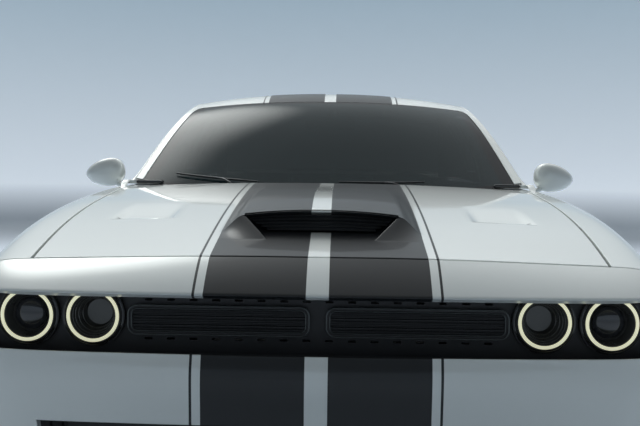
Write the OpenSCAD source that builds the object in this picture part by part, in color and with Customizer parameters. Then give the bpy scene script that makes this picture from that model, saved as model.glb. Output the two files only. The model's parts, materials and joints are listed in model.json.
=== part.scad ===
/* [Overall size] */
// Length over the bumpers
body_length = 5020; // [4700:10:5300]
// Width over the body without the mirrors
body_width = 1923; // [1800:1:2050]
// Height of the roof above the ground
body_height = 1450; // [1380:1:1540]
// Distance between the axles
wheelbase = 2946; // [2880:1:3010]
// Distance from the front end to the front axle
front_overhang = 945; // [900:1:990]
// Distance between wheel centres across the car
track = 1612; // [1580:1:1640]
// Height of the lower edge of the sills
sill_height = 190; // [150:1:230]

/* [Wheels] */
// Outside diameter of the tyre
tyre_diameter = 728; // [680:1:760]
// Width of the tyre
tyre_width = 245; // [205:5:275]
// Diameter at the tyre beads
rim_diameter = 508; // [457:1:533]
// Depth of the rim flange above the bead
rim_flange = 14; // [8:1:20]
// Wall of the rim barrel
rim_wall = 10; // [6:1:16]
// Number of spokes
spoke_count = 5; // [4:1:10]
// Width of a spoke at the hub
spoke_width = 92; // [50:1:110]
// Thickness of a spoke
spoke_depth = 34; // [20:1:60]
// Distance of the spoke face inside the outer rim edge
spoke_inset = 22; // [5:1:60]
// Radius of the hub part of the rim
hub_radius = 78; // [65:1:95]
// Radius of the bore for the axle stub
bore_radius = 36; // [30:1:42]
// Running clearance of the axle stub in the bore
bore_clearance = 0.1; // [0.05:0.05:0.3]
// Diameter of the brake disc
disc_diameter = 345; // [300:1:370]
// Thickness of the brake disc
disc_thickness = 28; // [20:1:34]
// Radius of the wheel arch openings
arch_radius = 402; // [385:1:425]

/* [Panels] */
// Thickness of the fixed outer panels
skin = 24; // [18:1:36]
// Thickness of the bumper covers
cover = 26; // [18:1:36]
// Thickness of a door
door_thickness = 112; // [100:1:118]
// Thickness of the hood and trunk lid
lid_thickness = 30; // [20:1:40]
// Gap round panels that move
panel_gap = 7; // [6:0.5:9]
// Gap between fixed pieces that touch
seam = 0.3; // [0.1:0.1:0.5]
// Thickness of the glass
glass_thickness = 5; // [4:0.5:8]
// Set-back of the hood front edge from the front end at the centre
hood_setback = 165; // [140:1:190]
// Extra set-back of that edge at the fender sides
hood_sweep = 66; // [40:1:90]
// Set-back of the tail panel edge from the rear end at the centre
tail_setback = 62; // [45:1:90]
// Extra set-back of that edge at the quarter sides
tail_sweep = 70; // [40:1:100]
// Height of the fender seam at the front corner
corner_seam_height = 716; // [690:1:730]
// Height of the fender seam at the wheel arch
arch_seam_height = 640; // [600:1:680]
// Height of the joint between sills and the panels above
sill_top = 268; // [250:1:290]
// Gap between a bumper cover and the side panels
cover_gap = 4; // [3:0.5:6]
// Inner side of the sills from the centre
sill_inner = 780; // [760:1:800]

/* [Section shares] */
// Body stations: along, half width, crest height, hood and belt edge, centre height
section_shares = [
  [0.010, 0.905, 0.509, 0.775, 0.538],
  [0.046, 0.944, 0.537, 0.790, 0.562],
  [0.110, 0.976, 0.581, 0.816, 0.600],
  [0.188, 0.991, 0.619, 0.832, 0.636],
  [0.269, 0.986, 0.643, 0.840, 0.663],
  [0.339, 0.971, 0.654, 0.866, 0.679],
  [0.458, 0.964, 0.659, 0.885, 0.690],
  [0.588, 0.967, 0.666, 0.885, 0.697],
  [0.687, 0.986, 0.683, 0.872, 0.707],
  [0.775, 1.000, 0.699, 0.835, 0.718],
  [0.857, 0.995, 0.705, 0.775, 0.724],
  [0.936, 0.967, 0.695, 0.747, 0.717],
  [0.996, 0.924, 0.679, 0.733, 0.702]
];
// Side of a station: half width, height from the sill to the crest
side_shares = [
  [0.935, 0.00], [0.972, 0.18], [1.004, 0.42],
  [1.010, 0.66], [1.003, 0.90], [0.965, 1.01]
];
// Top of a station: edge, height from the crest to the centre
top_shares = [[1.00, 0.34], [0.62, 0.78], [0.30, 1.00], [0.00, 1.00]];
// Roof outline: along, half width, height, bow along the car, crown
canopy_shares = [
  [0.357, 0.866, 0.675, -0.0300, -0.040],
  [0.398, 0.826, 0.757, -0.0270, -0.014],
  [0.444, 0.770, 0.855, -0.0235, 0.010],
  [0.492, 0.706, 0.933, -0.0190, 0.028],
  [0.548, 0.691, 0.961, -0.0100, 0.036],
  [0.628, 0.681, 0.963, 0.0000, 0.037],
  [0.697, 0.689, 0.939, 0.0090, 0.036],
  [0.750, 0.716, 0.872, 0.0140, 0.028],
  [0.800, 0.740, 0.781, 0.0170, 0.016],
  [0.838, 0.757, 0.706, 0.0180, 0.010]
];
// Front outline from the centre to the arch: side width, along
nose_outline_shares = [
  [0.00, 0.000], [0.25, 0.006], [0.50, 0.022], [0.75, 0.048], [0.92, 0.085],
  [0.998, 0.19], [1.005, 0.36], [1.000, 0.70], [1.000, 1.000]
];
// Front rows from the chin up: height, set-back of the front end
nose_row_shares = [
  [0.134, 0.0150], [0.176, 0.0060], [0.215, 0.0040], [0.293, 0.0020],
  [0.359, 0.0000], [0.397, 0.0030], [0.441, 0.0060], [0.494, 0.0075]
];
// Rear outline from the centre to the arch: side width, along
tail_outline_shares = [
  [0.00, 0.000], [0.28, 0.004], [0.56, 0.016], [0.80, 0.044], [0.94, 0.085],
  [1.000, 0.18], [1.005, 0.33], [1.000, 0.66], [1.000, 1.000]
];
// Rear rows from the bottom up: height, set-back of the rear end
tail_row_shares = [
  [0.186, 0.0200], [0.225, 0.0050], [0.300, 0.0010], [0.414, 0.0000],
  [0.469, 0.0035], [0.493, 0.0090], [0.540, 0.0095], [0.628, 0.0100]
];
// Place of the door along the car: front edge and rear edge
door_shares = [0.328, 0.596];
// Place of the glass along the car: windscreen foot and head, rear glass head and foot
glass_shares = [0.357, 0.487, 0.706, 0.832];
// Quarter window along the car: front and rear
window_shares = [0.612, 0.680];
// Rear edge of the hood along the car, at the centre and at the sides
hood_rear_shares = [0.3215, 0.3245];
// Front edge of the trunk lid along the car, at the centre and at the sides
lid_front_shares = [0.8535, 0.852];

/* [Mechanism] */
// Distance of the door hinge axis ahead of the door edge
door_axis_ahead = 86; // [75:1:100]
// Distance of the door hinge axis from the centre
door_axis_side = 890; // [886:1:894]
// Radius of the hinge pins
pin_radius = 9; // [7:0.5:12]
// Clearance of a hinge pin in its sleeve
pin_clearance = 0.1; // [0.05:0.05:0.3]
// Wall of the hinge sleeves
sleeve_wall = 6; // [4:0.5:9]
// Height of a hinge sleeve
sleeve_length = 46; // [36:1:60]
// Heights of the two door hinges as shares of the roof height
hinge_shares = [0.27, 0.53];
// Distance of the hood hinge axis behind the hood edge
hood_axis_behind = 58; // [54:1:64]
// Distance of the hood hinge axis below the hood
hood_axis_below = 60; // [56:1:64]
// Distance of the hood hinges from the centre
hood_hinge_side = 640; // [620:1:650]
// Distance of the trunk hinge axis ahead of the lid
lid_axis_ahead = 100; // [90:1:110]
// Distance of the trunk hinge axis below the lid edge
lid_axis_below = 20; // [18:1:24]
// Distance of the trunk hinges from the centre
lid_hinge_side = 560; // [540:1:600]
// Distance of the steering axis from the centre
steer_axis_side = 716; // [706:1:726]
// Height of the steering wheel centre
steering_height = 862; // [840:1:890]
// Distance of the steering wheel from the centre
steering_side = 370; // [350:1:390]
// Distance of the steering wheel from the front end
steering_along = 2235; // [2200:1:2270]
// Tilt of the steering column
steering_tilt = 24; // [18:1:30]
// Diameter of the steering wheel
steering_diameter = 368; // [350:1:390]

/* [Hood scoop and vents] */
// Distance of the scoop mouth from the front end
scoop_along = 430; // [415:1:450]
// Height of the mouth at the centre
scoop_rise = 62; // [45:1:75]
// Half width of the mouth at its upper corners
scoop_half = 221; // [205:1:235]
// Half width of the mouth at its lower lip
scoop_lip_half = 148; // [125:1:160]
// Distance over which the scoop blends into the hood at each side
scoop_blend = 72; // [55:1:85]
// Depth of the mouth
mouth_depth = 40; // [30:1:46]
// Length of the ridges ahead of the mouth
ridge_length = 88; // [70:1:100]
// Length over which the scoop fades out behind the mouth
scoop_fade = 1120; // [900:10:1180]
// Distance of the hood vents from the front end
vent_along = 640; // [600:1:680]
// Length of a vent
vent_length = 310; // [240:1:340]
// Depth of a vent at its front edge
vent_depth = 15; // [8:1:16]
// Inner side of a vent from the centre
vent_inner = 486; // [470:1:510]
// Outer side of a vent from the centre
vent_outer = 622; // [600:1:632]
// Width of the slope round a vent
vent_edge = 32; // [20:1:36]

/* [Lamps and grille] */
// Height of the headlamp centres
lamp_height = 649; // [640:1:652]
// Radius of a headlamp
lamp_radius = 69; // [64:1:70]
// Distance of the inner headlamps from the centre
lamp_inner = 570; // [560:1:580]
// Distance of the outer headlamps from the centre
lamp_outer = 738; // [730:1:745]
// Set-back of the grille panel from the front end
grille_setback = 150; // [140:1:165]
// Thickness of the grille panel
grille_thickness = 16; // [10:1:24]
// Length of a headlamp
lamp_length = 90; // [70:1:110]

/* [Hidden] */
half_length = body_length / 2;
half_width = body_width / 2;
nose = -half_length;
tail = half_length;
axle_height = tyre_diameter / 2;
front_axle = nose + front_overhang;
rear_axle = front_axle + wheelbase;
wheel_side = track / 2;
door_front = nose + door_shares[0] * body_length;
door_rear = nose + door_shares[1] * body_length;
door_axis = door_front - door_axis_ahead;
steering_place = [steering_side, nose + steering_along, steering_height];
unit = body_length / 1000;
step = unit / 2.5;
$fn = 64;

function mix(a, b, t) = a + (b - a) * t;
function clamp(t) = min(max(t, 0), 1);
function ease(t) = let (c = clamp(t)) c * c * (3 - 2 * c);
function padded(p) = concat([p[0], p[0]], p, [p[len(p) - 1], p[len(p) - 1]]);
function blend(q, t) =
  let (n = len(q) - 3, u = clamp(t) * n, i = min(floor(u), n - 1), f = u - i, g = 1 - f)
  (g * g * g * q[i] + (3 * f * f * f - 6 * f * f + 4) * q[i + 1]
    + (3 * g * g * g - 6 * g * g + 4) * q[i + 2] + f * f * f * q[i + 3]) / 6;
function rising(q, col, goal, lo = 0, hi = 1, n = 20) =
  n == 0 ? (lo + hi) / 2
  : let (m = (lo + hi) / 2)
    blend(q, m)[col] < goal ? rising(q, col, goal, m, hi, n - 1) : rising(q, col, goal, lo, m, n - 1);
function falling(q, col, goal, lo = 0, hi = 1, n = 20) =
  n == 0 ? (lo + hi) / 2
  : let (m = (lo + hi) / 2)
    blend(q, m)[col] > goal ? falling(q, col, goal, m, hi, n - 1) : falling(q, col, goal, lo, m, n - 1);

station_curve = padded(section_shares);
function station(y) = blend(station_curve, rising(station_curve, 0, (y - nose) / body_length));
function section(y) =
  let (r = station(y), w = r[1] * half_width, c = r[2] * body_height, e = r[3] * half_width,
     t = r[4] * body_height)
  padded(concat(
    [for (p = side_shares) [w * p[0], mix(sill_height, c, p[1])]],
    [for (p = top_shares) [e * p[0], mix(c, t, p[1])]]));
function on_body(y, v) = let (p = blend(section(y), v)) [p[0], y, p[1]];
function v_at_height(y, z) = rising(section(y), 1, z);
function v_at_side(y, x) = falling(section(y), 0, x, 0.45, 1);
function side_at(y, z) = blend(section(y), v_at_height(y, z))[0];
function edge_at(y) = station(y)[3] * half_width;
function top_at(x, y) = blend(section(y), v_at_side(y, abs(x)))[1];
function edge_point(y) = let (x = edge_at(y)) [x, y, top_at(x, y)];

canopy_curve = padded(canopy_shares);
function canopy_row(y) = blend(canopy_curve, rising(canopy_curve, 0, (y - nose) / body_length));
function canopy_edge(y) = let (r = canopy_row(y)) [r[1] * half_width, y, r[2] * body_height];
function canopy_at(y, c, inset = 0) =
  let (r = canopy_row(y), k = 1 - pow(abs(c), 2.2))
  [c * (r[1] * half_width - inset), y + k * r[3] * body_length, (r[2] + k * r[4]) * body_height];

function arch_at(y, axle) =
  let (d = y - axle) abs(d) < arch_radius ? axle_height + sqrt(arch_radius * arch_radius - d * d) : 0;
function hood_cut(x) = nose + hood_setback + hood_sweep * pow(abs(x) / half_width, 2);
function tail_cut(x) = tail - tail_setback - tail_sweep * pow(abs(x) / half_width, 2);

function normal_of(g, i, j) =
  let (n = len(g) - 1, m = len(g[0]) - 1,
     a = g[min(i + 1, n)][j] - g[max(i - 1, 0)][j],
     b = g[i][min(j + 1, m)] - g[i][max(j - 1, 0)],
     c = cross(a, b))
  norm(c) > 0 ? c / norm(c) : [0, 0, 1];
function inward(g, t) =
  [for (i = [0 : len(g) - 1]) [for (j = [0 : len(g[0]) - 1]) g[i][j] - t * normal_of(g, i, j)]];
function squared(o, g, low, high, row = -1, from = 0) =
  let (n = len(g) - 1, m = len(g[0]) - 1)
  [for (i = [0 : n]) [for (j = [0 : m]) [for (k = [0 : 2])
    (k == 1 && (i == 0 || i == n)) || (j == 0 && k == low) || (j == m && k == high)
    || (j == row && i >= from && k == 0) ? o[i][j][k] : g[i][j][k]]]];
function lined(g, t, low = 0, high = 0, row = -1, from = 0) =
  squared(g, inward(g, t), low, high, row, from);
corner_share = 0.7;
function covered(g, wrap, lip = -1) =
  let (b = inward(g, cover), n = len(g) - 1, m = len(g[0]) - 1)
  [for (i = [0 : n]) [for (j = [0 : m])
    let (q = g[i][j], p = b[i][j], k = abs(i - end_last), side = [sign(q[0]) * cover, 0, 0],
      down = [0, 0, cover])
    k >= corner_step && j == m ? q - corner_share * (side + down)
    : j == m ? q - down
    : k >= corner_step && j >= wrap ? q - side
    : j == lip ? q + [0, cover, 0]
    : i == 0 || i == n ? [p[0], q[1], p[2]]
    : j == 0 ? [p[0], p[1], q[2]] : p]];
function joined(l) = [for (a = l) for (b = a) b];

module sheet(outer, inner, holes = [], even = false) {
  n = len(outer);
  m = len(outer[0]);
  function open(i, j) =
    i < 0 || j < 0 || i > n - 2 || j > m - 2
    || len([for (h = holes) if (i >= h[0] && i < h[1] && j >= h[2] && j < h[3]) 1]) > 0;
  function o(i, j) = i * m + j;
  function q(i, j) = n * m + i * m + j;
  function turned(j) = even && j < (m - 1) / 2;
  faces = joined([for (i = [0 : n - 2]) for (j = [0 : m - 2]) if (!open(i, j)) concat(
    turned(j) ? [[o(i, j), o(i, j + 1), o(i + 1, j)], [o(i + 1, j), o(i, j + 1), o(i + 1, j + 1)]]
      : [[o(i, j), o(i + 1, j + 1), o(i + 1, j)], [o(i, j), o(i, j + 1), o(i + 1, j + 1)]],
    [[q(i, j), q(i + 1, j), q(i + 1, j + 1)], [q(i, j), q(i + 1, j + 1), q(i, j + 1)]],
    open(i - 1, j) ? [[o(i, j), q(i, j), q(i, j + 1)], [o(i, j), q(i, j + 1), o(i, j + 1)]] : [],
    open(i + 1, j) ? [[o(i + 1, j), q(i + 1, j + 1), q(i + 1, j)],
      [o(i + 1, j), o(i + 1, j + 1), q(i + 1, j + 1)]] : [],
    open(i, j - 1) ? [[o(i, j), q(i + 1, j), q(i, j)], [o(i, j), o(i + 1, j), q(i + 1, j)]] : [],
    open(i, j + 1) ? [[o(i, j + 1), q(i, j + 1), q(i + 1, j + 1)],
      [o(i, j + 1), q(i + 1, j + 1), o(i + 1, j + 1)]] : []
  )]);
  polyhedron(concat(joined(outer), joined(inner)), faces);
}

module box(low, high) {
  translate(low) cube(high - low);
}
module flip() { mirror([1, 0, 0]) children(); }
module both() {
  children();
  flip() children();
}
module back_tube(r, length) {
  rotate([-90, 0, 0]) cylinder(r = r, h = length);
}
module lying(r, x0, x1) {
  translate([x0, 0, 0]) rotate([0, 90, 0]) cylinder(r = r, h = x1 - x0);
}

front_meet = sqrt(arch_radius * arch_radius - pow(arch_seam_height - axle_height, 2));
meet_angle = acos(front_meet / arch_radius);
last_angle = 178;
arc_steps = 10;
arch_angles = [for (k = [0 : arc_steps]) mix(meet_angle, last_angle, k / arc_steps)];
corner_cut = hood_cut(half_width);
tail_corner_cut = tail_cut(half_width);
function seam_height(top, d, reach) = mix(top, arch_seam_height, clamp(d / reach));
tail_wrap = 4;
tail_seam_height = tail_row_shares[tail_wrap][0] * body_height;

function sorted(l) =
  len(l) < 2 ? l
  : let (p = l[floor(len(l) / 2)])
    concat(sorted([for (a = l) if (a < p) a]), [p], sorted([for (a = l) if (a > p) a]));

/* Fenders and quarters share the rule for their lower edge. */
function fender_low(y) =
  let (reach = front_axle - front_meet - corner_cut)
  y < front_axle - front_meet + seam ? seam_height(corner_seam_height, y - corner_cut, reach) + cover_gap
  : y < front_axle + arch_radius ? arch_at(y, front_axle) : sill_top + seam;
function quarter_low(y) =
  let (reach = tail_corner_cut - rear_axle - front_meet)
  y > rear_axle + front_meet - seam ? seam_height(tail_seam_height, tail_corner_cut - y,
    reach) + cover_gap
  : y > rear_axle - arch_radius ? arch_at(y, rear_axle) : sill_top + seam;

fender_ys = concat(
  [for (k = [0 : 2]) mix(corner_cut, front_axle - front_meet, k / 3)],
  [for (a = arch_angles) front_axle - arch_radius * cos(a)],
  [front_axle + arch_radius + step, mix(front_axle + arch_radius, door_front, 0.55),
    door_front - panel_gap]);
side_rows = 8;
function fender_span(y, t) =
  on_body(y, mix(v_at_height(y, fender_low(y)), v_at_side(y, edge_at(y)), t));
fender_grid = [for (i = [0 : len(fender_ys) - 1]) [for (j = [0 : side_rows])
  let (t = j / side_rows, y = fender_ys[i])
  i > 0 ? fender_span(y, t) : fender_span(hood_cut(fender_span(y, t)[0]) + cover_gap, t)]];

roof_head = nose + glass_shares[1] * body_length;
roof_tail = nose + glass_shares[2] * body_length;
glass_foot = nose + glass_shares[0] * body_length;
rear_foot = nose + glass_shares[3] * body_length;
window_front = nose + window_shares[0] * body_length;
window_rear = nose + window_shares[1] * body_length;
quarter_front = door_rear + panel_gap;
sail_end = mix(rear_foot, nose + lid_front_shares[1] * body_length, 0.7);
quarter_ys = sorted(concat(
  [quarter_front, window_front, mix(window_front, window_rear, 0.35), mix(window_front, window_rear, 0.7),
   window_rear, rear_axle - arch_radius - step, roof_tail, rear_foot, sail_end],
  [for (a = arch_angles) rear_axle + arch_radius * cos(a)],
  [for (k = [1 : 3]) mix(sail_end, tail_corner_cut, k / 3)]));
side_bulge = 36;
function side_point(y, h) =
  let (b = edge_point(y), c = canopy_edge(y)) mix(b, c, h) + [side_bulge * 4 * h * (1 - h), 0, 0];
sail_rows = [0.13, 0.45, 0.72, 0.88, 1];
function quarter_span(y, t) =
  on_body(y, mix(v_at_height(y, quarter_low(y)), v_at_side(y, edge_at(y)), t));
quarter_grid = [for (i = [0 : len(quarter_ys) - 1])
  let (y = quarter_ys[i], last = i == len(quarter_ys) - 1)
  concat(
    [for (j = [0 : side_rows]) let (t = j / side_rows)
      last ? quarter_span(tail_cut(quarter_span(y, t)[0]) - cover_gap, t) : quarter_span(y, t)],
    [for (h = sail_rows) side_point(min(y, sail_end), h)])];
function place_of(l, a) = [for (i = [0 : len(l) - 1]) if (abs(l[i] - a) < seam / 10) i][0];
sail_last = place_of(quarter_ys, sail_end);
quarter_holes = [
  [sail_last, len(quarter_ys), side_rows, side_rows + len(sail_rows)],
  [place_of(quarter_ys, window_front), place_of(quarter_ys, window_rear), side_rows + 1, side_rows + 4]];

/* Ends of the body: rows of one outline, from the arch round the corner to the centre and back. */
nose_curve = padded(nose_outline_shares);
tail_curve = padded(tail_outline_shares);
nose_last = len(nose_row_shares) - 1;
tail_last = len(tail_row_shares) - 1;
function arch_reach(z) =
  let (rise = min(z, arch_seam_height) - axle_height)
  rise < 0 ? arch_radius : sqrt(arch_radius * arch_radius - rise * rise);
function nose_low(a, row) =
  let (p = blend(nose_curve, a), r = nose_row_shares[row], z = r[0] * body_height,
     y = mix(nose + r[1] * body_length * (1 - ease(a)), front_axle - arch_reach(z), p[1]),
     h = row == nose_last
       ? seam_height(corner_seam_height, y - corner_cut, front_axle - front_meet - corner_cut) : z)
  [p[0] * side_at(y, h), y, h];
function tail_low(a, row) =
  let (p = blend(tail_curve, a), r = tail_row_shares[row], z = r[0] * body_height,
     free = mix(tail - r[1] * body_length * (1 - ease(a)), rear_axle + arch_reach(z), p[1]),
     y = row > tail_wrap ? max(free, tail_cut(p[0] * side_at(free, z))) : free,
     h = row == tail_wrap
       ? seam_height(tail_seam_height, tail_corner_cut - y, tail_corner_cut - rear_axle - front_meet) : z)
  [p[0] * side_at(y, h), y, h];
function nose_meets(lo, hi, n = 18) =
  let (m = (lo + hi) / 2, p = nose_low(m, nose_last))
  n == 0 ? m : p[1] < hood_cut(p[0]) ? nose_meets(m, hi, n - 1) : nose_meets(lo, m, n - 1);
function tail_meets(lo, hi, n = 18) =
  let (m = (lo + hi) / 2, p = tail_low(m, tail_wrap))
  n == 0 ? m : p[1] > tail_cut(p[0]) ? tail_meets(m, hi, n - 1) : tail_meets(lo, m, n - 1);
nose_corner = nose_meets(0, 1);
tail_corner = tail_meets(0, 1);
corner_step = 8;
end_top_share = 0.93;
function end_places(corner) = concat(
  [for (k = [0, 0.16, 0.32, 0.47, 0.6, 0.72, 0.82, 0.91, 1]) k * corner],
  [for (k = [0.25, 0.55, 1]) mix(corner, 1, k)]);
nose_steps = end_places(nose_corner);
tail_steps = end_places(tail_corner);
function nose_top(a) =
  let (p = nose_low(a, nose_last), x = min(p[0], half_width * end_top_share), y = max(hood_cut(x), p[1]))
  [x, y, top_at(x, y)];
function tail_top(a) =
  let (p = tail_low(a, tail_last), x = min(p[0], half_width * end_top_share), y = min(tail_cut(x), p[1]))
  [x, y, top_at(x, y)];
function nose_column(a) =
  concat([for (row = [0 : len(nose_row_shares) - 1]) nose_low(a, row)], [nose_top(a)]);
function tail_column(a) =
  concat([for (row = [0 : len(tail_row_shares) - 1]) tail_low(a, row)], [tail_top(a)]);
function flipped(g) = [for (p = g) [-p[0], p[1], p[2]]];
end_last = len(nose_steps) - 1;
nose_grid = concat(
  [for (k = [0 : end_last - 1]) flipped(nose_column(nose_steps[end_last - k]))],
  [for (k = [0 : end_last]) nose_column(nose_steps[k])]);
tail_grid = concat(
  [for (k = [0 : end_last - 1]) tail_column(tail_steps[end_last - k])],
  [for (k = [0 : end_last]) flipped(tail_column(tail_steps[k]))]);
end_count = len(nose_grid);
nose_rows = len(nose_row_shares);
tail_rows = len(tail_row_shares);
lamp_cells = 6;
intake_cells = 4;
nose_holes = [
  [0, end_last - corner_step, nose_rows - 1, nose_rows],
  [end_last + corner_step, end_count, nose_rows - 1, nose_rows],
  [end_last - lamp_cells, end_last + lamp_cells, nose_rows - 3, nose_rows - 1],
  [end_last - intake_cells, end_last + intake_cells, 1, 3]];
tail_holes = [
  [0, end_last - corner_step, tail_wrap, tail_rows],
  [end_last + corner_step, end_count, tail_wrap, tail_rows],
  [end_last - lamp_cells, end_last + lamp_cells, tail_rows - 2, tail_rows - 1]];

module loft(rings) {
  n = len(rings);
  m = len(rings[0]);
  function a(i, j) = i * m + j % m;
  polyhedron(joined(rings), concat(
    [[for (j = [0 : m - 1]) j]],
    [[for (j = [0 : m - 1]) a(n - 1, m - 1 - j)]],
    joined([for (i = [0 : n - 2]) for (j = [0 : m - 1])
      [[a(i, j), a(i + 1, j + 1), a(i, j + 1)], [a(i, j), a(i + 1, j), a(i + 1, j + 1)]]])));
}

/* Colours */
paint = [0.86, 0.87, 0.86];
dark = [0.12, 0.12, 0.13];
glass = [0.15, 0.18, 0.20];
metal = [0.62, 0.63, 0.65];
rubber = [0.08, 0.08, 0.08];
trim = [0.20, 0.20, 0.22];
lamp = [0.85, 0.85, 0.70];
red = [0.55, 0.05, 0.06];

/* Hood and trunk lid */
scoop_mouth = nose + scoop_along;
scoop_arch_share = 0.22;
ridge_wall = 45;
hood_front_share = 0.79;
hood_row_shares = [0.225, 0.265, 0.298];
ridge_row_shares = [1.25, 1, 0.68, 0.36];
vent_row_shares = [0.35, 0.7, 1];
fade_share = 1.1;
lip_shares = [0.946, 0.972];
lid_row_shares = [0.875, 0.905, 0.928, lip_shares[0], lip_shares[1]];
lid_rear_share = 0.74;
across_shares = [1, 0.86, 0.72, 0.58, 0.44, 0.34, 0.28, 0.14, 0];
function two_sided(l) = concat(l, [for (k = [1 : len(l) - 1]) -l[len(l) - 1 - k]]);
across = two_sided(across_shares);
function hood_rear(c) = nose + mix(hood_rear_shares[0], hood_rear_shares[1], c * c) * body_length;
function lid_front(c) = nose + mix(lid_front_shares[0], lid_front_shares[1], c * c) * body_length;
function lid_side(y) = edge_at(y) - panel_gap;
function lid_point(y, c) = let (x = c * lid_side(y)) [x, y, top_at(x, y)];

/* Scoop: ridges rise towards the mouth, the bulge behind it fades out. */
function scoop_top(x) =
  scoop_rise * (1 - scoop_arch_share * pow(min(abs(x) / scoop_half, 1), 2))
  * (1 - ease((abs(x) - scoop_half) / scoop_blend));
function ridge(x, y) =
  let (u = clamp(1 + (y - scoop_mouth) / ridge_length), r = mix(scoop_lip_half, scoop_half, u),
     w = mix(step, ridge_wall, u))
  u * scoop_top(scoop_half) * ease((abs(x) - r + w) / w)
  * (1 - ease((abs(x) - r) / (scoop_half + scoop_blend - r)));
function scoop_bump(x, y) =
  y < scoop_mouth ? ridge(x, y)
  : scoop_top(x) * ease((scoop_mouth + scoop_fade - y) / scoop_fade * fade_share);
function vent_dip(x, y) =
  let (d = y - nose - vent_along)
  d < step / 2 ? 0
  : vent_depth * ease(1 - d / vent_length) * ease((abs(x) - vent_inner) / vent_edge + 1)
    * ease((vent_outer - abs(x)) / vent_edge + 1);
function hood_point(y, c) =
  let (x = c * lid_side(y)) [x, y, top_at(x, y) + scoop_bump(x, y) - vent_dip(x, y)];
mouth_side = lid_side(scoop_mouth);
hood_across = two_sided(concat([1], [for (x = [
  vent_outer + vent_edge, vent_outer, vent_inner, vent_inner - vent_edge,
  mix(vent_inner - vent_edge, scoop_half + scoop_blend, 0.5), scoop_half + scoop_blend,
    scoop_half + scoop_blend / 2,
  scoop_half, mix(scoop_lip_half, scoop_half, 0.75), mix(scoop_lip_half, scoop_half, 0.42),
    scoop_lip_half,
  scoop_lip_half / 2, 0]) x / mouth_side]));
/* Rows of the mouth: depth, height, half width between the lip and the upper corners */
mouth_shares = [[0, 0, 0], [0.9, 0.02, 0.05], [1, 0.45, 0.62], [0.92, 0.84, 0.88], [0.05, 0.88, 1],
  [-0.04, 1, 1]];
mouth_rows = len(mouth_shares);
function mouth_ahead(k) = scoop_mouth - (mouth_rows - k) * step;
function mouth_point(k, c) =
  let (r = mouth_shares[k], y = mouth_ahead(k), x = c * mouth_side)
  abs(x) > mix(scoop_lip_half, scoop_half, r[2]) + seam ? hood_point(y, c)
  : [x, scoop_mouth + r[0] * mouth_depth, top_at(x, scoop_mouth) + r[1] * scoop_top(x)];
hood_front_ys = [for (k = ridge_row_shares) scoop_mouth - k * ridge_length];
hood_rear_ys = concat(
  [scoop_mouth + mouth_rows * step, scoop_mouth + 1.6 * mouth_depth, nose + vent_along,
    nose + vent_along + step],
  [for (k = vent_row_shares) nose + vent_along + k * vent_length],
  [for (s = hood_row_shares) nose + s * body_length]);
function hood_front(c) = hood_cut(c * half_width * hood_front_share) + panel_gap;
hood_grid = concat(
  [[for (c = hood_across) hood_point(hood_front(c), c)]],
  [for (y = hood_front_ys) [for (c = hood_across) hood_point(y, c)]],
  [for (k = [0 : mouth_rows - 1]) [for (c = hood_across) mouth_point(k, c)]],
  [for (y = hood_rear_ys) [for (c = hood_across) hood_point(y, c)]],
  [[for (c = hood_across) hood_point(hood_rear(c), c)]]);
function under_point(y, c) = let (x = c * lid_side(y)) [x, y, top_at(x, y) - lid_thickness];
hood_under = concat(
  [[for (c = hood_across) under_point(hood_front(c), c)]],
  [for (y = hood_front_ys) [for (c = hood_across) under_point(y, c)]],
  [for (k = [0 : mouth_rows - 1]) [for (c = hood_across) under_point(mouth_ahead(k), c)]],
  [for (y = hood_rear_ys) [for (c = hood_across) under_point(y, c)]],
  [[for (c = hood_across) under_point(hood_rear(c), c)]]);
lid_grid = concat(
  [[for (c = across) lid_point(lid_front(c), c)]],
  [for (s = lid_row_shares) [for (c = across) lid_point(nose + s * body_length, c)]],
  [[for (c = across) lid_point(tail_cut(c * half_width * lid_rear_share) - panel_gap, c)]]);
hood_axis_y = hood_rear(1) + hood_axis_behind;
hood_axis_z = top_at(hood_hinge_side, hood_rear(1)) - hood_axis_below;
lid_edge = lid_front(lid_hinge_side / lid_side(lid_front(0)));
lid_axis_y = lid_edge - lid_axis_ahead;
lid_axis_z = top_at(lid_hinge_side, lid_edge) - lid_axis_below;
arm_thickness = 14;
arm_height = 22;
arm_reach = 190;

module hinge_sleeve(length) {
  rotate([0, 90, 0]) cylinder(r = pin_radius + sleeve_wall, h = length, center = true);
}
module hinge_bore(length) {
  rotate([0, 90, 0]) cylinder(r = pin_radius + pin_clearance, h = length, center = true);
}
module hood() {
  color(paint) union() {
    sheet(hood_grid, hood_under, even = true);
    both() translate([hood_hinge_side, hood_axis_y, hood_axis_z]) difference() {
      union() {
        hinge_sleeve(sleeve_length);
        box([-arm_thickness / 2, -hood_axis_behind - arm_reach, -arm_height],
          [arm_thickness / 2, 0, 0]);
        box([-arm_thickness / 2, -hood_axis_behind - arm_reach, -arm_height],
          [arm_thickness / 2, -hood_axis_behind - arm_reach / 3, hood_axis_below / 2]);
      }
      hinge_bore(sleeve_length * 2);
    }
  }
}
mesh_thickness = 6;
mesh_slots = 3;
mesh_share = 0.72;
module scoop_grille() {
  half = scoop_lip_half - 2 * mesh_thickness;
  high = scoop_rise * mesh_share;
  foot = scoop_mouth + mouth_depth - 2 * mesh_thickness;
  color(dark) translate([0, foot, top_at(0, scoop_mouth) + mouth_shares[1][1] * scoop_rise + seam])
    rotate([90, 0, 0]) linear_extrude(mesh_thickness) difference() {
      translate([-half, 0]) square([2 * half, high]);
      for (k = [1 : mesh_slots], side = [-1, 1])
        translate([side * half / 2, high * k / (mesh_slots + 1)])
          square([half - 2 * mesh_thickness, high / (3 * mesh_slots)], center = true);
    }
}
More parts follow.
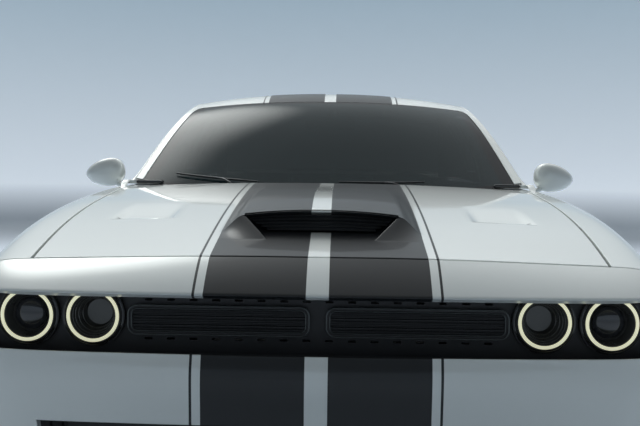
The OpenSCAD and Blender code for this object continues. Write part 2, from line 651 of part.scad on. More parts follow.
module trunk_lid() {
  neck = 115;
  h = arm_height / 2;
  end = lid_axis_ahead + neck;
  head = lid_axis_below - lid_thickness / 2;
  color(paint) union() {
    sheet(lid_grid, lined(lid_grid, lid_thickness), even = true);
    both() translate([lid_hinge_side, lid_axis_y, lid_axis_z]) difference() {
      union() {
        hinge_sleeve(sleeve_length);
        rotate([90, 0, 90]) linear_extrude(arm_thickness, center = true) polygon([
          [-h, -h / 2], [neck / 6, -neck], [end, -neck], [end, head], [end - 2 * h, head],
          [end - 2 * h, -neck + 2 * h], [neck / 6 + 2 * h, -neck + 2 * h], [h, h / 2]]);
      }
      hinge_bore(sleeve_length * 2);
    }
  }
}
module rear_spoiler() {
  lip = 38;
  function ring(c) =
    let (a = lid_point(nose + lip_shares[0] * body_length, c) + [0, 0, seam],
       b = lid_point(nose + lip_shares[1] * body_length, c) + [0, 0, seam])
    [a, a + [0, 0, step], b + [0, 0, lip * (1 - 0.4 * c * c)], b];
  color(dark) loft([for (k = [1 : len(across) - 2]) ring(across[len(across) - 1 - k])]);
}

/* Doors */
door_rows = 9;
door_inset = 15;
hinge_inset = 48;
belt_drop = 24;
pane_share = 0.383;
pane_ys = [for (k = [0 : 7]) mix(nose + pane_share * body_length, door_rear - panel_gap, k / 7)];
door_ys = concat([door_front, mix(door_front, pane_ys[0], 0.5)], pane_ys, [door_rear]);
door_last = len(door_ys) - 1;
door_grid = [for (y = door_ys) [for (j = [0 : door_rows])
  on_body(y, mix(v_at_height(y, sill_top + panel_gap), v_at_side(y, edge_at(y)), j / door_rows))]];
door_inner = [for (i = [0 : door_last]) [for (j = [0 : door_rows])
  door_grid[i][j] + [-door_thickness, i == 0 ? hinge_inset : i == door_last ? -door_inset : 0,
    j == 0 ? door_inset : j == door_rows ? -belt_drop : 0]]];
handle_along = 2800;
handle_height = 838;
handle_length = 190;
handle_radius = 9;
handle_post = 6;
handle_gap = 24;
module door_handle() {
  y = nose + handle_along;
  x = side_at(y, handle_height);
  for (k = [-1, 1]) translate([0, y + k * (handle_length / 2 - 2 * handle_radius), handle_height])
    lying(handle_post, x - handle_gap, x + handle_gap);
  translate([x + handle_gap, y - handle_length / 2, handle_height])
    back_tube(handle_radius, handle_length);
}
strap_inset = 65;
strap_ahead = 40;
strap_thickness = 10;
strap_height = 40;
strap_reach = 84;
pocket = 14;
module door_strap() {
  t = strap_thickness / 2;
  end = door_axis_ahead + strap_reach;
  difference() {
    union() {
      cylinder(r = pin_radius + sleeve_wall, h = sleeve_length, center = true);
      linear_extrude(strap_height, center = true) polygon([
        [0, -t], [0, 2 * t], [-strap_inset + t, strap_ahead + t], [-strap_inset + t, end],
        [-strap_inset - t, end], [-strap_inset - t, strap_ahead - t]]);
    }
    cylinder(r = pin_radius + pin_clearance, h = sleeve_length * 2, center = true);
  }
}
module door() {
  union() {
    sheet(door_grid, door_inner);
    box([mirror_foot - mirror_pad, mirror_place[1] - mirror_pad,
      mirror_place[2] - mirror_half[2] - 2 * mirror_pad],
      [mirror_foot + 2 * mirror_pad, mirror_place[1] + mirror_pad,
        mirror_place[2] - mirror_half[2] - seam]);
    door_handle();
    for (h = hinge_shares) translate([door_axis_side, door_axis, h * body_height]) door_strap();
  }
}
module door_left() { color(paint) door(); }
module door_right() { color(paint) flip() door(); }
rail_out = 32;
rail_drop = 44;
rail_depth = 12;
rail_shares = [[0, 0], [0.55, 0.30], [1, 1], [0.62, 1.25], [0, 0.85]];
rail_low = rail_shares[3][1];
glass_extra = 2;
glass_gap = panel_gap + glass_extra;
function drop_at(y) = min(rail_drop, (canopy_edge(y)[2] - edge_point(y)[2] - glass_gap) / rail_low);
function pane_foot(y) = edge_point(y) + [-glass_thickness, 0,
  seam - belt_drop * glass_thickness / door_thickness];
function pane_head(y) = canopy_edge(y) + [rail_out - rail_depth, 0, -drop_at(y) * rail_low - glass_gap];
function pane_point(y, h) = mix(pane_foot(y), pane_head(y), h) + [side_bulge * 3 * h * (1 - h), 0, 0];
pane_grid = [for (y = pane_ys) [for (h = [0, 0.25, 0.5, 0.75, 1]) pane_point(y, h)]];
pane_inner = [for (y = pane_ys) [for (h = [0, 0.25, 0.5, 0.75, 1])
  pane_point(y, h) - [glass_thickness, 0, 0]]];
module pane() {
  sheet(pane_grid, pane_inner);
}
module door_glass_left() { color(glass) pane(); }
module door_glass_right() { color(glass) flip() pane(); }

/* Mirrors: rounded rings from the back of the housing to its face */
mirror_along = 1925;
mirror_place = [997, nose + mirror_along, 1012];
mirror_half = [86, 62, 68];
mirror_foot = 896;
mirror_pad = 16;
mirror_ring_shares = [[-1, 0.36], [-0.8, 0.70], [-0.4, 0.93], [0.1, 1], [0.6, 0.98], [0.95, 0.93],
  [1, 0.82]];
/* Outline of the housing from the front: outwards, upwards */
mirror_outline_shares = [
  [1, -0.06], [0.86, -0.44], [0.53, -0.79], [-0.08, -0.97], [-0.6, -0.92], [-0.89, -0.56],
  [-1, -0.15], [-1, 0.26], [-0.84, 0.88], [-0.32, 1], [0.29, 0.79], [0.76, 0.38]];
mirror_curve = concat(mirror_outline_shares, [for (k = [0 : 2]) mirror_outline_shares[k]]);
mirror_points = 20;
module mirror_housing() {
  foot = 46;
  union() {
    loft([for (r = mirror_ring_shares) [for (k = [0 : mirror_points - 1])
      let (q = blend(mirror_curve, k / mirror_points))
      mirror_place + [mirror_half[0] * q[0] * r[1], mirror_half[1] * r[0],
        mirror_half[2] * q[1] * r[1]]]]);
    box([mirror_foot, mirror_place[1] - foot / 2, mirror_place[2] - mirror_half[2]],
      [mirror_place[0] - mirror_half[0] / 2, mirror_place[1] + foot / 2,
        mirror_place[2] - mirror_half[2] / 2]);
  }
}
module mirror_left() { color(paint) mirror_housing(); }
module mirror_right() { color(paint) flip() mirror_housing(); }

/* Fixed side panels */
module fender() {
  reach = pin_radius + sleeve_wall + pocket / 2;
  lug = [560, 600];
  difference() {
    union() {
      sheet(fender_grid, lined(fender_grid, skin, 2, 0));
      box([post_outer + seam, door_axis - post_depth, lug[0]],
        [side_at(door_axis, lug[0]) - skin / 2, door_axis - post_depth / 2, lug[1]]);
    }
    for (h = hinge_shares)
      box([door_axis_side - door_thickness, door_axis - reach, h * body_height - sleeve_length],
        [side_at(door_axis, h * body_height) - skin / 2, door_front, h * body_height + sleeve_length]);
  }
}
module fender_left() { color(paint) fender(); }
module fender_right() { color(paint) flip() fender(); }
sill_ys = concat([front_axle + arch_radius + step],
  [for (k = [1 : 5]) mix(front_axle + arch_radius, rear_axle - arch_radius, k / 6)],
  [rear_axle - arch_radius - step]);
sill_grid = [for (y = sill_ys) [for (t = [0, 0.3, 0.6, 1])
  on_body(y, v_at_height(y, mix(sill_height, sill_top, t)))]];
sill_back = [for (y = sill_ys) [for (j = [0 : 3]) [sill_inner, y,
  sill_grid[place_of(sill_ys, y)][j][2]]]];
module sill() {
  sheet(sill_grid, sill_back);
}
module sill_left() { color(paint) sill(); }
module sill_right() { color(paint) flip() sill(); }
module quarter() {
  lug = [rear_wall + floor_plate, rear_wall + 4 * floor_plate];
  union() {
    sheet(quarter_grid, lined(quarter_grid, skin, 2, 0, side_rows, sail_last), quarter_holes);
    box([shelf_half + seam, lug[0], shelf_height - floor_plate],
      [side_at(lug[1], shelf_height) - skin / 2, lug[1], shelf_height + floor_plate / 2]);
  }
}
module quarter_left() { color(paint) quarter(); }
module quarter_right() { color(paint) flip() quarter(); }
rail_ys = concat([for (k = [0 : 6]) mix(glass_foot, roof_head, k / 6)],
  [for (k = [1 : 3]) mix(roof_head, quarter_front - seam, k / 3)]);
module side_rails() {
  color(paint) both() loft([for (y = rail_ys) [for (p = rail_shares)
    canopy_edge(y) + [rail_out * p[0], 0, -drop_at(y) * p[1]]]]);
}

/* Canopy between the rails */
canopy_across = [1, 0.86, 0.68, 0.46, 0.23, 0, -0.23, -0.46, -0.68, -0.86, -1];
function canopy_grid(ys, side) = [for (y = ys) [for (c = canopy_across)
  canopy_at(y, side * c, 3 * seam)]];
roof_ys = concat([for (y = rail_ys) if (y > roof_head - seam) y],
  [for (y = quarter_ys) if (y < roof_tail + seam) y]);
screen_ys = [for (y = rail_ys) if (y < roof_head + seam) y];
rear_ys = [for (y = quarter_ys) if (y > roof_tail - seam && y < rear_foot + seam) y];
function shifted(g, row, d) = [for (i = [0 : len(g) - 1]) [for (p = g[i]) i == row ? p + [0, d, 0] : p]];
roof_grid = let (g = canopy_grid(roof_ys, 1)) shifted(shifted(g, 0, seam), len(g) - 1, -seam);
screen_grid = canopy_grid(screen_ys, 1);
rear_grid = canopy_grid(rear_ys, 1);
module roof() { color(paint) sheet(roof_grid, lined(roof_grid, skin)); }
module windscreen() { color(glass) sheet(screen_grid, lined(screen_grid, glass_thickness)); }
module rear_glass() { color(glass) sheet(rear_grid, lined(rear_grid, glass_thickness)); }
deck_extra = 3;
deck_gap = panel_gap + deck_extra;
deck_thickness = 2 * glass_thickness;
deck_grid = [for (t = [0, 0.5, 1]) [for (c = canopy_across)
  let (a = canopy_at(rear_foot, c, 3 * seam) + [0, seam, 0], y = lid_front(c) - deck_gap)
  mix(a, [a[0], y, top_at(a[0], y)], t)]];
module deck_panel() { color(paint) sheet(deck_grid, lined(deck_grid, deck_thickness)); }
light_ys = [for (y = quarter_ys) if (y > window_front - seam && y < window_rear + seam) y];
light_hs = [for (k = [0 : 3]) sail_rows[k]];
light_grid = [for (y = light_ys) [for (h = light_hs) side_point(y, h)]];
function tight(g, d) =
  let (n = len(g) - 1, m = len(g[0]) - 1)
  [for (i = [0 : n]) [for (j = [0 : m]) g[i][j] + [0, i == 0 ? d : i == n ? -d : 0,
    j == 0 ? d : j == m ? -d : 0]]];
module quarter_glass() {
  g = tight(inward(light_grid, glass_thickness), 2 * seam);
  color(glass) both() sheet(g, inward(g, glass_thickness));
}

/* Ends */
module front_fascia() {
  lug = 120;
  color(paint) union() {
    sheet(nose_grid, covered(nose_grid, nose_last, nose_last), nose_holes);
    box([-lug, nose + cover / 2, beam_foot + floor_plate],
      [lug, front_beam - beam_depth - seam, beam_head - floor_plate]);
  }
}
module rear_fascia() {
  lug = 120;
  color(paint) union() {
    sheet(tail_grid, covered(tail_grid, tail_wrap), tail_holes);
    box([-lug, rear_beam + beam_depth + seam, rear_beam_foot + floor_plate],
      [lug, tail - cover / 2, trunk_floor - floor_plate]);
  }
}

/* Grille, lamps and splitter */
grille_plane = nose + grille_setback;
opening_top = nose_row_shares[nose_rows - 1][0] * body_height;
opening_foot = nose_row_shares[nose_rows - 3][0] * body_height;
grille_half = 830;
grille_margin = 22;
bar_count = 9;
bar_height = 4;
bar_depth = 8;
frame_place = 252;
frame_half = [231, 38];
frame_corner = 24;
frame_width = 7;
frame_depth = 14;
frame_height = 640;
slot_count = 16;
slot_size = [20, 6];
bezel_radius = 80;
bezel_depth = 18;
corner_points = 6;
function rounded(half, r) = [for (q = [0 : 3], k = [0 : corner_points])
  let (a = 90 * (q + k / corner_points))
  [(q == 0 || q == 3 ? 1 : -1) * (half[0] - r) + r * cos(a),
    (q < 2 ? 1 : -1) * (half[1] - r) + r * sin(a)]];
module upright_plate(depth) {
  rotate([90, 0, 0]) linear_extrude(depth) children();
}
module lamp_rows() {
  for (x = [-lamp_outer, -lamp_inner, lamp_inner, lamp_outer])
    translate([x, grille_plane, lamp_height]) rotate([90, 0, 0]) children();
}
module grille_frame() {
  translate([0, grille_plane + step, frame_height]) {
    upright_plate(frame_depth) difference() {
      polygon(rounded(frame_half, frame_corner));
      polygon(rounded([for (h = frame_half) h - frame_width], frame_corner - frame_width));
    }
    for (k = [1 : bar_count]) translate([0, 0, mix(-frame_half[1], frame_half[1], k / (bar_count + 1))])
      upright_plate(bar_depth) square([2 * frame_half[0] - frame_width, bar_height], center = true);
  }
}
module grille() {
  bezel_head = opening_top - 2 * step;
  bezel_foot = opening_foot + 2 * step;
  color(dark) difference() {
    union() {
      box([-grille_half, grille_plane, opening_foot - grille_margin],
        [grille_half, grille_plane + grille_thickness, opening_top + step]);
      for (side = [-1, 1]) translate([side * frame_place, 0, 0]) grille_frame();
      intersection() {
        lamp_rows() translate([0, 0, -step]) cylinder(r = bezel_radius, h = bezel_depth + step);
        box([-grille_half, grille_plane - bezel_depth, bezel_foot],
          [grille_half, grille_plane + step, bezel_head]);
      }
    }
    lamp_rows() translate([0, 0, -lamp_length]) cylinder(r = lamp_radius + seam, h = 2 * lamp_length);
    for (k = [0 : slot_count - 1], side = [-1, 1])
      translate([mix(-frame_half[0], frame_half[0], (k + 0.5) / slot_count) * 2,
        grille_plane - step, frame_height + side * (frame_half[1] + 2 * slot_size[1])])
        rotate([-90, 0, 0]) linear_extrude(grille_thickness + 2 * step) square(slot_size, center = true);
  }
}
bezel = 5;
halo = 9;
bowl = 46;
projector = 31;
dome = 13;
dome_points = 5;
module headlamps() {
  front = lamp_length / 2 - grille_thickness;
  back = front - lamp_length;
  color(lamp) lamp_rows() rotate_extrude() polygon(concat(
    [[0, back], [lamp_radius, back], [lamp_radius, front], [lamp_radius - bezel, front],
     [lamp_radius - bezel - halo, front - halo], [lamp_radius - bezel - halo, front - 2 * halo],
     [projector + bezel, front - bowl], [projector, front - bowl]],
    [for (k = [1 : dome_points]) let (a = 90 * k / dome_points)
      [projector * cos(a), front - bowl + dome * sin(a)]]));
}
module lower_grille() {
  z0 = nose_row_shares[1][0] * body_height;
  z1 = nose_row_shares[3][0] * body_height;
  y0 = grille_plane;
  half = 640;
  color(dark) union() {
    box([-half, y0, z0 - grille_margin], [half, y0 + grille_thickness, beam_foot - seam]);
    for (k = [0 : 2])
      box([-half, y0 - bar_depth, mix(z0, z1, (k + 0.5) / 3)],
        [half, y0, mix(z0, z1, (k + 0.5) / 3) + 2 * bar_height]);
  }
}
splitter_share = 0.6;
module front_splitter() {
  plate = 14;
  inset = 60;
  points = 8;
  function edge(k) = nose_low(abs(k) / points * splitter_share, 0);
  color(dark) translate([0, 0, nose_row_shares[0][0] * body_height - seam - plate]) linear_extrude(plate)
    polygon(concat(
      [for (k = [-points : points]) let (p = edge(k)) [sign(k) * p[0], p[1]]],
      [for (k = [points, -points]) let (p = edge(k)) [sign(k) * (p[0] - inset), p[1] + 3 * inset]]));
}

/* Structure */
floor_plate = 24;
floor_rise = 10;
floor_low = sill_height + floor_rise;
floor_top = floor_low + floor_plate;
rail_half = 44;
rail_side = 434;
chassis_in = rail_side - rail_half;
chassis_out = rail_side + rail_half;
rail_foot = 330;
rail_head = 450;
tunnel_half = 140;
tunnel_height = 190;
firewall_along = 1560;
firewall = nose + firewall_along;
firewall_top = 850;
rear_wall_along = 3480;
rear_wall = nose + rear_wall_along;
trunk_floor = 430;
trunk_half = 600;
shelf_height = 940;
shelf_half = 740;
beam_depth = 40;
beam_half = 560;
front_beam = grille_plane + beam_depth;
beam_foot = 452;
beam_head = opening_foot - grille_margin - seam;
rear_beam_setback = 190;
rear_beam = tail - rear_beam_setback;
rear_beam_foot = 310;
tail_panel = 24;
tail_lamp_foot = tail_row_shares[tail_rows - 2][0] * body_height;
tail_lamp_head = tail_row_shares[tail_rows - 1][0] * body_height;
jack_half = 34;
jack_drop = 16;
jack_side = 742;
jack_alongs = [1700, 3150];
jack_places = [for (a = jack_alongs) nose + a];
module floor_pan() {
  color(trim) union() {
    difference() {
      union() {
        box([-sill_inner + seam, firewall, floor_low],
          [sill_inner - seam, rear_axle - arch_radius - 3 * skin, floor_top]);
        box([-tunnel_half, firewall, floor_low],
          [tunnel_half, rear_wall + step, floor_top + tunnel_height]);
      }
      box([-tunnel_half + floor_plate, firewall - step, floor_low - step],
        [tunnel_half - floor_plate, rear_wall + 2 * step, floor_top + tunnel_height - floor_plate]);
    }
    difference() {
      box([-sill_inner + 2 * floor_plate, firewall, floor_low],
        [sill_inner - 2 * floor_plate, firewall + floor_plate, firewall_top]);
      box([-tunnel_half + floor_plate, firewall - step, floor_low - step],
        [tunnel_half - floor_plate, firewall + floor_plate + step,
          floor_top + tunnel_height - floor_plate]);
    }
    box([-trunk_half, rear_wall, trunk_floor - floor_plate],
      [trunk_half, rear_wall + floor_plate, shelf_height - seam]);
    box([-trunk_half, rear_wall, trunk_floor], [trunk_half, rear_beam + step, trunk_floor + floor_plate]);
    both() {
      box([chassis_in, front_beam - step, rail_foot], [chassis_out, firewall + step, rail_head]);
      box([chassis_in, rear_axle - arch_radius - 4 * skin, floor_low],
        [chassis_out, rear_wall + floor_plate, trunk_floor]);
      difference() {
        box([chassis_in, rear_wall, rear_beam_foot], [chassis_out, rear_beam + step, trunk_floor + step]);
        box([rail_side - 2 * rail_half, rear_axle - shaft_radius, rear_beam_foot - step],
          [rail_side + 2 * rail_half, rear_axle + shaft_radius, axle_height + shaft_radius]);
      }
      for (y = jack_places)
        box([jack_side - jack_half, y - jack_half, floor_low - jack_drop],
          [jack_side + jack_half, y + jack_half, floor_top]);
    }
    box([-beam_half, front_beam - beam_depth, beam_foot], [beam_half, front_beam, beam_head]);
    both() box([chassis_in, front_beam - step, rail_head - step],
      [chassis_out, front_beam + beam_depth, beam_foot + beam_depth]);
    box([-beam_half, rear_beam, rear_beam_foot],
      [beam_half, rear_beam + beam_depth, trunk_floor + floor_plate]);
    box([-beam_half, rear_beam, trunk_floor],
      [beam_half, rear_beam + tail_panel, tail_lamp_foot - grille_margin - seam]);
  }
}
post_inner = 700;
post_outer = 800;
post_depth = 70;
pillar_step = 20;
pillar_side = canopy_edge(glass_foot)[0];
pillar_top = canopy_edge(glass_foot)[2];
module hinge_posts() {
  bracket = glass_foot - 3 * pillar_step;
  gap = 2;
  plate = 10;
  color(trim) both() union() {
    box([post_inner, door_axis - post_depth, sill_top + seam],
      [post_outer, firewall - seam, firewall_top + floor_plate]);
    box([post_inner, door_axis - post_depth, firewall_top],
      [post_inner + plate, bracket, firewall_top + 2 * floor_plate]);
    box([post_inner, bracket - 2 * pillar_step, firewall_top], [post_inner + plate, bracket, pillar_top]);
    box([post_inner, bracket - 2 * pillar_step, pillar_top - plate],
      [pillar_side + pillar_step, bracket, pillar_top]);
    box([pillar_side + seam, bracket - 2 * pillar_step, pillar_top - plate],
      [pillar_side + pillar_step, glass_foot - seam, pillar_top]);
    for (h = hinge_shares) translate([door_axis_side, door_axis, h * body_height]) {
      cylinder(r = pin_radius, h = sleeve_length + 2 * plate + 2 * gap, center = true);
      for (k = [-1, 1])
        translate([0, 0, k * (sleeve_length / 2 + gap + plate / 2)])
          box([post_outer - door_axis_side - step, -pin_radius - sleeve_wall, -plate / 2],
            [pin_radius + sleeve_wall / 2, pin_radius + sleeve_wall / 2, plate / 2]);
    }
  }
}
liner_radius = 436;
liner_wall = 10;
liner_outer = 840;
module liner(axle, inner) {
  translate([0, axle, axle_height]) difference() {
    rotate([0, 90, 0]) translate([0, 0, inner])
      cylinder(r = liner_radius + liner_wall, h = liner_outer - inner);
    rotate([0, 90, 0]) translate([0, 0, inner + liner_wall])
      cylinder(r = liner_radius, h = liner_outer - inner);
    box([0, -2 * liner_radius, -2 * liner_radius], [half_width, 2 * liner_radius, 0]);
  }
}
module wheelhouses() {
  color(dark) both() {
    difference() {
      liner(front_axle, chassis_out + seam);
      box([0, front_axle - tyre_width / 2, axle_height],
        [chassis_out + 2 * liner_wall, front_axle + tyre_width / 2, axle_height + arch_radius / 2]);
    }
    difference() {
      liner(rear_axle, trunk_half + seam);
      box([0, rear_axle - tyre_width / 2, axle_height - step],
        [trunk_half + 2 * liner_wall, rear_axle + tyre_width / 2, axle_height + arch_radius / 6]);
    }
  }
}
shelf_gap = 20;
shelf_end = lid_axis_y - shelf_gap;
module parcel_shelf() {
  plate = 20;
  ear = 12;
  color(trim) union() {
    box([-shelf_half, rear_wall, shelf_height], [shelf_half, shelf_end, shelf_height + plate]);
    both() translate([lid_hinge_side, lid_axis_y, lid_axis_z]) {
      hinge_pin();
      for (k = [-1, 1]) translate([k * (sleeve_length / 2 + ear), 0, 0])
        box([-ear / 2, -4 * ear, shelf_height - lid_axis_z],
          [ear / 2, ear / 2 + pin_radius, pin_radius + sleeve_wall / 2]);
    }
  }
}
module hinge_pin() {
  rotate([0, 90, 0]) cylinder(r = pin_radius, h = 1.7 * sleeve_length, center = true);
}
cowl_plate = 15;
module cowl() {
  ear = 12;
  color(dark) union() {
    box([-post_inner + seam, firewall, firewall_top + seam],
      [post_inner - seam, hood_axis_y + 2 * ear, firewall_top + cowl_plate]);
    both() translate([hood_hinge_side, hood_axis_y, hood_axis_z]) {
      hinge_pin();
      for (k = [-1, 1]) translate([k * (sleeve_length / 2 + ear), 0, 0])
        box([-ear / 2, -ear / 2 - pin_radius, firewall_top + seam - hood_axis_z],
          [ear / 2, ear / 2 + pin_radius, pin_radius + sleeve_wall / 2]);
    }
  }
}
lens_gap = 5;
lens_inset = 16;
lens_sink = 9;
lens_steps = 7;
module tail_lamps() {
  half = 760;
  last = tail_steps[lamp_cells];
  body = rear_beam + 3 * tail_panel;
  function edge(k) = let (t = abs(k) / lens_steps, p = tail_low(last * t, tail_rows - 2))
    [sign(k) * (p[0] - lens_inset * t), p[1] - lens_sink];
  lens = [for (k = [-lens_steps : lens_steps]) edge(k)];
  color(red) union() {
    box([-half, rear_beam, tail_lamp_foot - grille_margin], [half, body, tail_lamp_head + grille_margin]);
    translate([0, 0, tail_lamp_foot + lens_gap])
      linear_extrude(tail_lamp_head - tail_lamp_foot - 2 * lens_gap)
      polygon(concat([[-half, body - step]], lens, [[half, body - step]]));
  }
}
wiper_rise = 16;
wiper_radius = 7;
wiper_shares = [-0.62, 0.06];
wiper_span_share = 0.55;
pivot_share = 0.04;
module wipers() {
  place = glass_foot - wiper_rise;
  foot = firewall_top + cowl_plate + 2 * seam;
  function ring(c) = let (p = canopy_at(place, c)) [for (k = [0 : 5])
    p + [0, wiper_radius * cos(60 * k) - wiper_rise / 2, wiper_radius * sin(60 * k) + wiper_rise]];
  color(dark) for (c = wiper_shares) let (pivot = canopy_at(place, c + pivot_share)) union() {
    loft([for (k = [0 : 5]) ring(c + wiper_span_share * k / 5)]);
    translate([pivot[0], pivot[1] - wiper_rise / 2, foot])
      cylinder(r = wiper_radius, h = pivot[2] + wiper_rise - foot);
  }
}

/* Cabin */
dash_shares = [[0, 0.46], [0.42, 0.43], [0.9, 0.46], [1, 0.53], [0.95, 0.60], [0.62, 0.625],
  [0.44, 0.615],
  [0.42, 0.57], [0, 0.57]];
dash_depth = 470;
console_half = 120;
dash_half = 690;
column_radius = 20;
module on_column() {
  translate(steering_place) rotate([steering_tilt, 0, 0]) children();
}
console_height = 130;
console_end_along = 2830;
column_length = 260;
cluster_half = 190;
cluster_rise = 34;
cluster_depth = 120;
cluster_share = 0.9;
stack_share = 0.8;
module dashboard() {
  back = firewall + floor_plate + seam;
  low = floor_top + tunnel_height + seam;
  top = dash_shares[5][1] * body_height;
  color(dark) union() {
    translate([-dash_half, back, 0]) rotate([90, 0, 90]) linear_extrude(2 * dash_half)
      polygon([for (p = dash_shares) [p[0] * dash_depth, p[1] * body_height]]);
    on_column() rotate([90, 0, 0]) translate([0, 0, -column_radius / 2])
      cylinder(r = column_radius, h = column_length);
    box([-console_half, back + dash_depth / 2, low],
      [console_half, nose + console_end_along, low - seam + console_height]);
    box([-console_half, back + dash_depth / 3, low],
      [console_half, back - seam + dash_depth * stack_share,
        dash_shares[1][1] * body_height + floor_plate]);
    translate([steering_side, back + dash_depth * cluster_share, top - cluster_rise])
      rotate([90, 0, 0]) linear_extrude(cluster_depth)
        polygon(rounded([cluster_half, 2 * cluster_rise], cluster_rise));
  }
}
module steering_wheel() {
  ring = 16;
  hub = 62;
  hub_depth = 60;
  color(dark) on_column() rotate([90, 0, 0]) difference() {
    union() {
      rotate_extrude() translate([steering_diameter / 2 - ring, 0]) circle(ring, $fn = 32);
      cylinder(r = hub, h = hub_depth, center = true);
      for (a = [0, 180, 270]) rotate([0, 0, a])
        box([hub / 2, -1.4 * ring, -ring / 2], [steering_diameter / 2 - ring, 1.4 * ring, ring / 2]);
    }
    translate([0, 0, -column_radius / 2 - seam])
      cylinder(r = column_radius + pin_clearance, h = hub_depth);
  }
}
seat_along = 2560;
seat_place = [360, nose + seat_along];
seat_half = 212;
seat_foot = 90;
seat_shares = [[0, 0.16], [0.50, 0.13], [0.62, 0.14], [0.86, 0.60], [0.88, 0.74], [0.80, 0.76],
  [0.72, 0.62],
  [0.52, 0.24], [0.06, 0.28]];
seat_size = [1060, 1060];
module front_seats() {
  bolster = 55;
  color(dark) for (side = [-1, 1]) translate([side * seat_place[0], seat_place[1], 0]) union() {
    translate([-seat_half, -seat_size[0] / 2, floor_top]) rotate([90, 0, 90])
      linear_extrude(2 * seat_half)
      polygon([for (p = seat_shares) [p[0] * seat_size[0], p[1] * seat_size[1]]]);
    box([-seat_half + bolster, -seat_size[0] / 3, floor_top + seam],
      [seat_half - bolster, seat_foot, floor_top + seat_shares[0][1] * seat_size[1]]);
  }
}
bench_shares = [[0, 0.20], [0.62, 0.20], [0.96, 0.62], [0.985, 0.66], [0.80, 0.66], [0.55, 0.27],
  [0.03, 0.30]];
bench_size = [620, 1060];
module rear_seat() {
  half = 590;
  color(dark) union() {
    translate([-half, rear_wall - bench_size[0], floor_top]) rotate([90, 0, 90]) linear_extrude(2 * half)
      polygon([for (p = bench_shares) [p[0] * bench_size[0], p[1] * bench_size[1]]]);
    box([-half, rear_wall - bench_size[0] / 2, trunk_floor + seam],
      [half, rear_wall - seam, floor_top + bench_shares[6][1] * bench_size[1] - seat_foot / 2]);
  }
}

/* Running gear */
block_half = 186;
engine_along = 820;
engine_front = nose + engine_along;
engine_foot = 240;
engine_head = 740;
gearbox_radius = 59;
housing_radius = 99;
housing_length = 330;
housing_ahead = 220;
shaft_radius = 40;
shaft_rise = 127;
shaft_height = floor_low + shaft_rise;
engine_mount = 60;
head_cover_half = 110;
head_cover_side = 165;
head_tilt = 30;
gearbox_length = 700;
plenum_half = 120;
plenum_rise = 55;
runner_count = 4;
runner_radius = 24;
runner_half = 180;
pulley_radius = 85;
pulley_width = 36;
pulley_shares = [[0.35, 0.55], [0.7, 0.9]];
engine_rear = firewall - 4 * floor_plate;
gearbox_start = firewall - 5 * floor_plate;
module engine() {
  covers = [engine_front + engine_mount, gearbox_start];
  color(metal) union() {
    box([-block_half, engine_front, engine_foot], [block_half, engine_rear, engine_head]);
    both() translate([head_cover_side, 0, engine_head - 2 * engine_mount]) rotate([0, head_tilt, 0])
      box([-head_cover_half, covers[0], -engine_mount], [head_cover_half, covers[1], engine_mount]);
    both() box([0, engine_front + 4 * engine_mount, rail_foot + engine_mount / 2],
      [chassis_in - seam, engine_front + 5 * engine_mount, rail_head - engine_mount / 2]);
    box([-plenum_half, covers[0] + engine_mount, engine_head - step],
      [plenum_half, covers[1] - engine_mount, engine_head + plenum_rise]);
    for (k = [1 : runner_count]) translate([0, mix(covers[0], covers[1], k / (runner_count + 1)),
      engine_head])
      lying(runner_radius, -runner_half, runner_half);
    for (x = [-pulley_radius, pulley_radius], q = pulley_shares)
      translate([x, engine_front + step, mix(engine_foot, engine_head, q[0])]) rotate([90, 0, 0])
        cylinder(r = pulley_radius * q[1], h = pulley_width);
    translate([0, gearbox_start, shaft_height]) back_tube(gearbox_radius, gearbox_length);
  }
}
module driveline() {
  start = gearbox_start + gearbox_length + seam;
  color(metal) translate([0, start, shaft_height])
    back_tube(shaft_radius, rear_axle - housing_ahead - seam - start);
}
module exhaust() {
  pipe = 30;
  side = 250;
  muffler = 88;
  tip = 44;
  muffler_start = rear_axle + 3.25 * muffler;
  low = floor_low - seam - pipe;
  back = rear_axle + arch_radius + 5 * muffler;
  color(metal) both() union() {
    translate([side, firewall + 4 * pipe, low]) back_tube(pipe, back - muffler - firewall - 4 * pipe);
    translate([rail_side + rail_half / 2, muffler_start, rear_beam_foot - muffler - seam])
      back_tube(muffler, back - muffler_start);
    box([side - pipe, back - 2 * muffler, low - pipe / 2],
      [rail_side + rail_half / 2, back - muffler, low + pipe]);
    translate([chassis_out, back - muffler, rear_beam_foot - muffler - seam])
      back_tube(tip, tail - cover - back + muffler - floor_plate);
  }
}
upright_radius = 27;
upright_foot = 220;
upright_head = 520;
hub_inset = 72;
hub_inner = wheel_side - hub_inset;
arm_depth = 44;
module front_subframe() {
  low = 130;
  color(metal) union() {
    box([-chassis_out, front_axle - arm_depth, low + arm_depth / 2],
      [chassis_out, front_axle + 3 * arm_depth, low + 2 * arm_depth]);
    both() {
      box([chassis_in, front_axle - arm_depth, low + arm_depth],
        [chassis_out, front_axle + 3 * arm_depth, rail_foot - seam]);
      box([rail_side, front_axle - arm_depth / 2, low],
        [steer_axis_side, front_axle + arm_depth / 2, upright_foot - seam]);
      translate([steer_axis_side, front_axle, low])
        cylinder(r = upright_radius, h = upright_foot - seam - low);
      box([chassis_out + 2 * liner_wall, front_axle - arm_depth / 2, upright_head + seam],
        [steer_axis_side, front_axle + arm_depth / 2, upright_head + arm_depth / 2]);
      box([chassis_out - 2 * arm_depth, front_axle - arm_depth / 2, rail_head + seam],
        [chassis_out + 3 * liner_wall, front_axle + arm_depth / 2, upright_head + arm_depth / 2]);
      translate([steer_axis_side, front_axle, upright_head + seam])
        cylinder(r = upright_radius, h = arm_depth / 2);
    }
  }
}
caliper_wrap = 62;
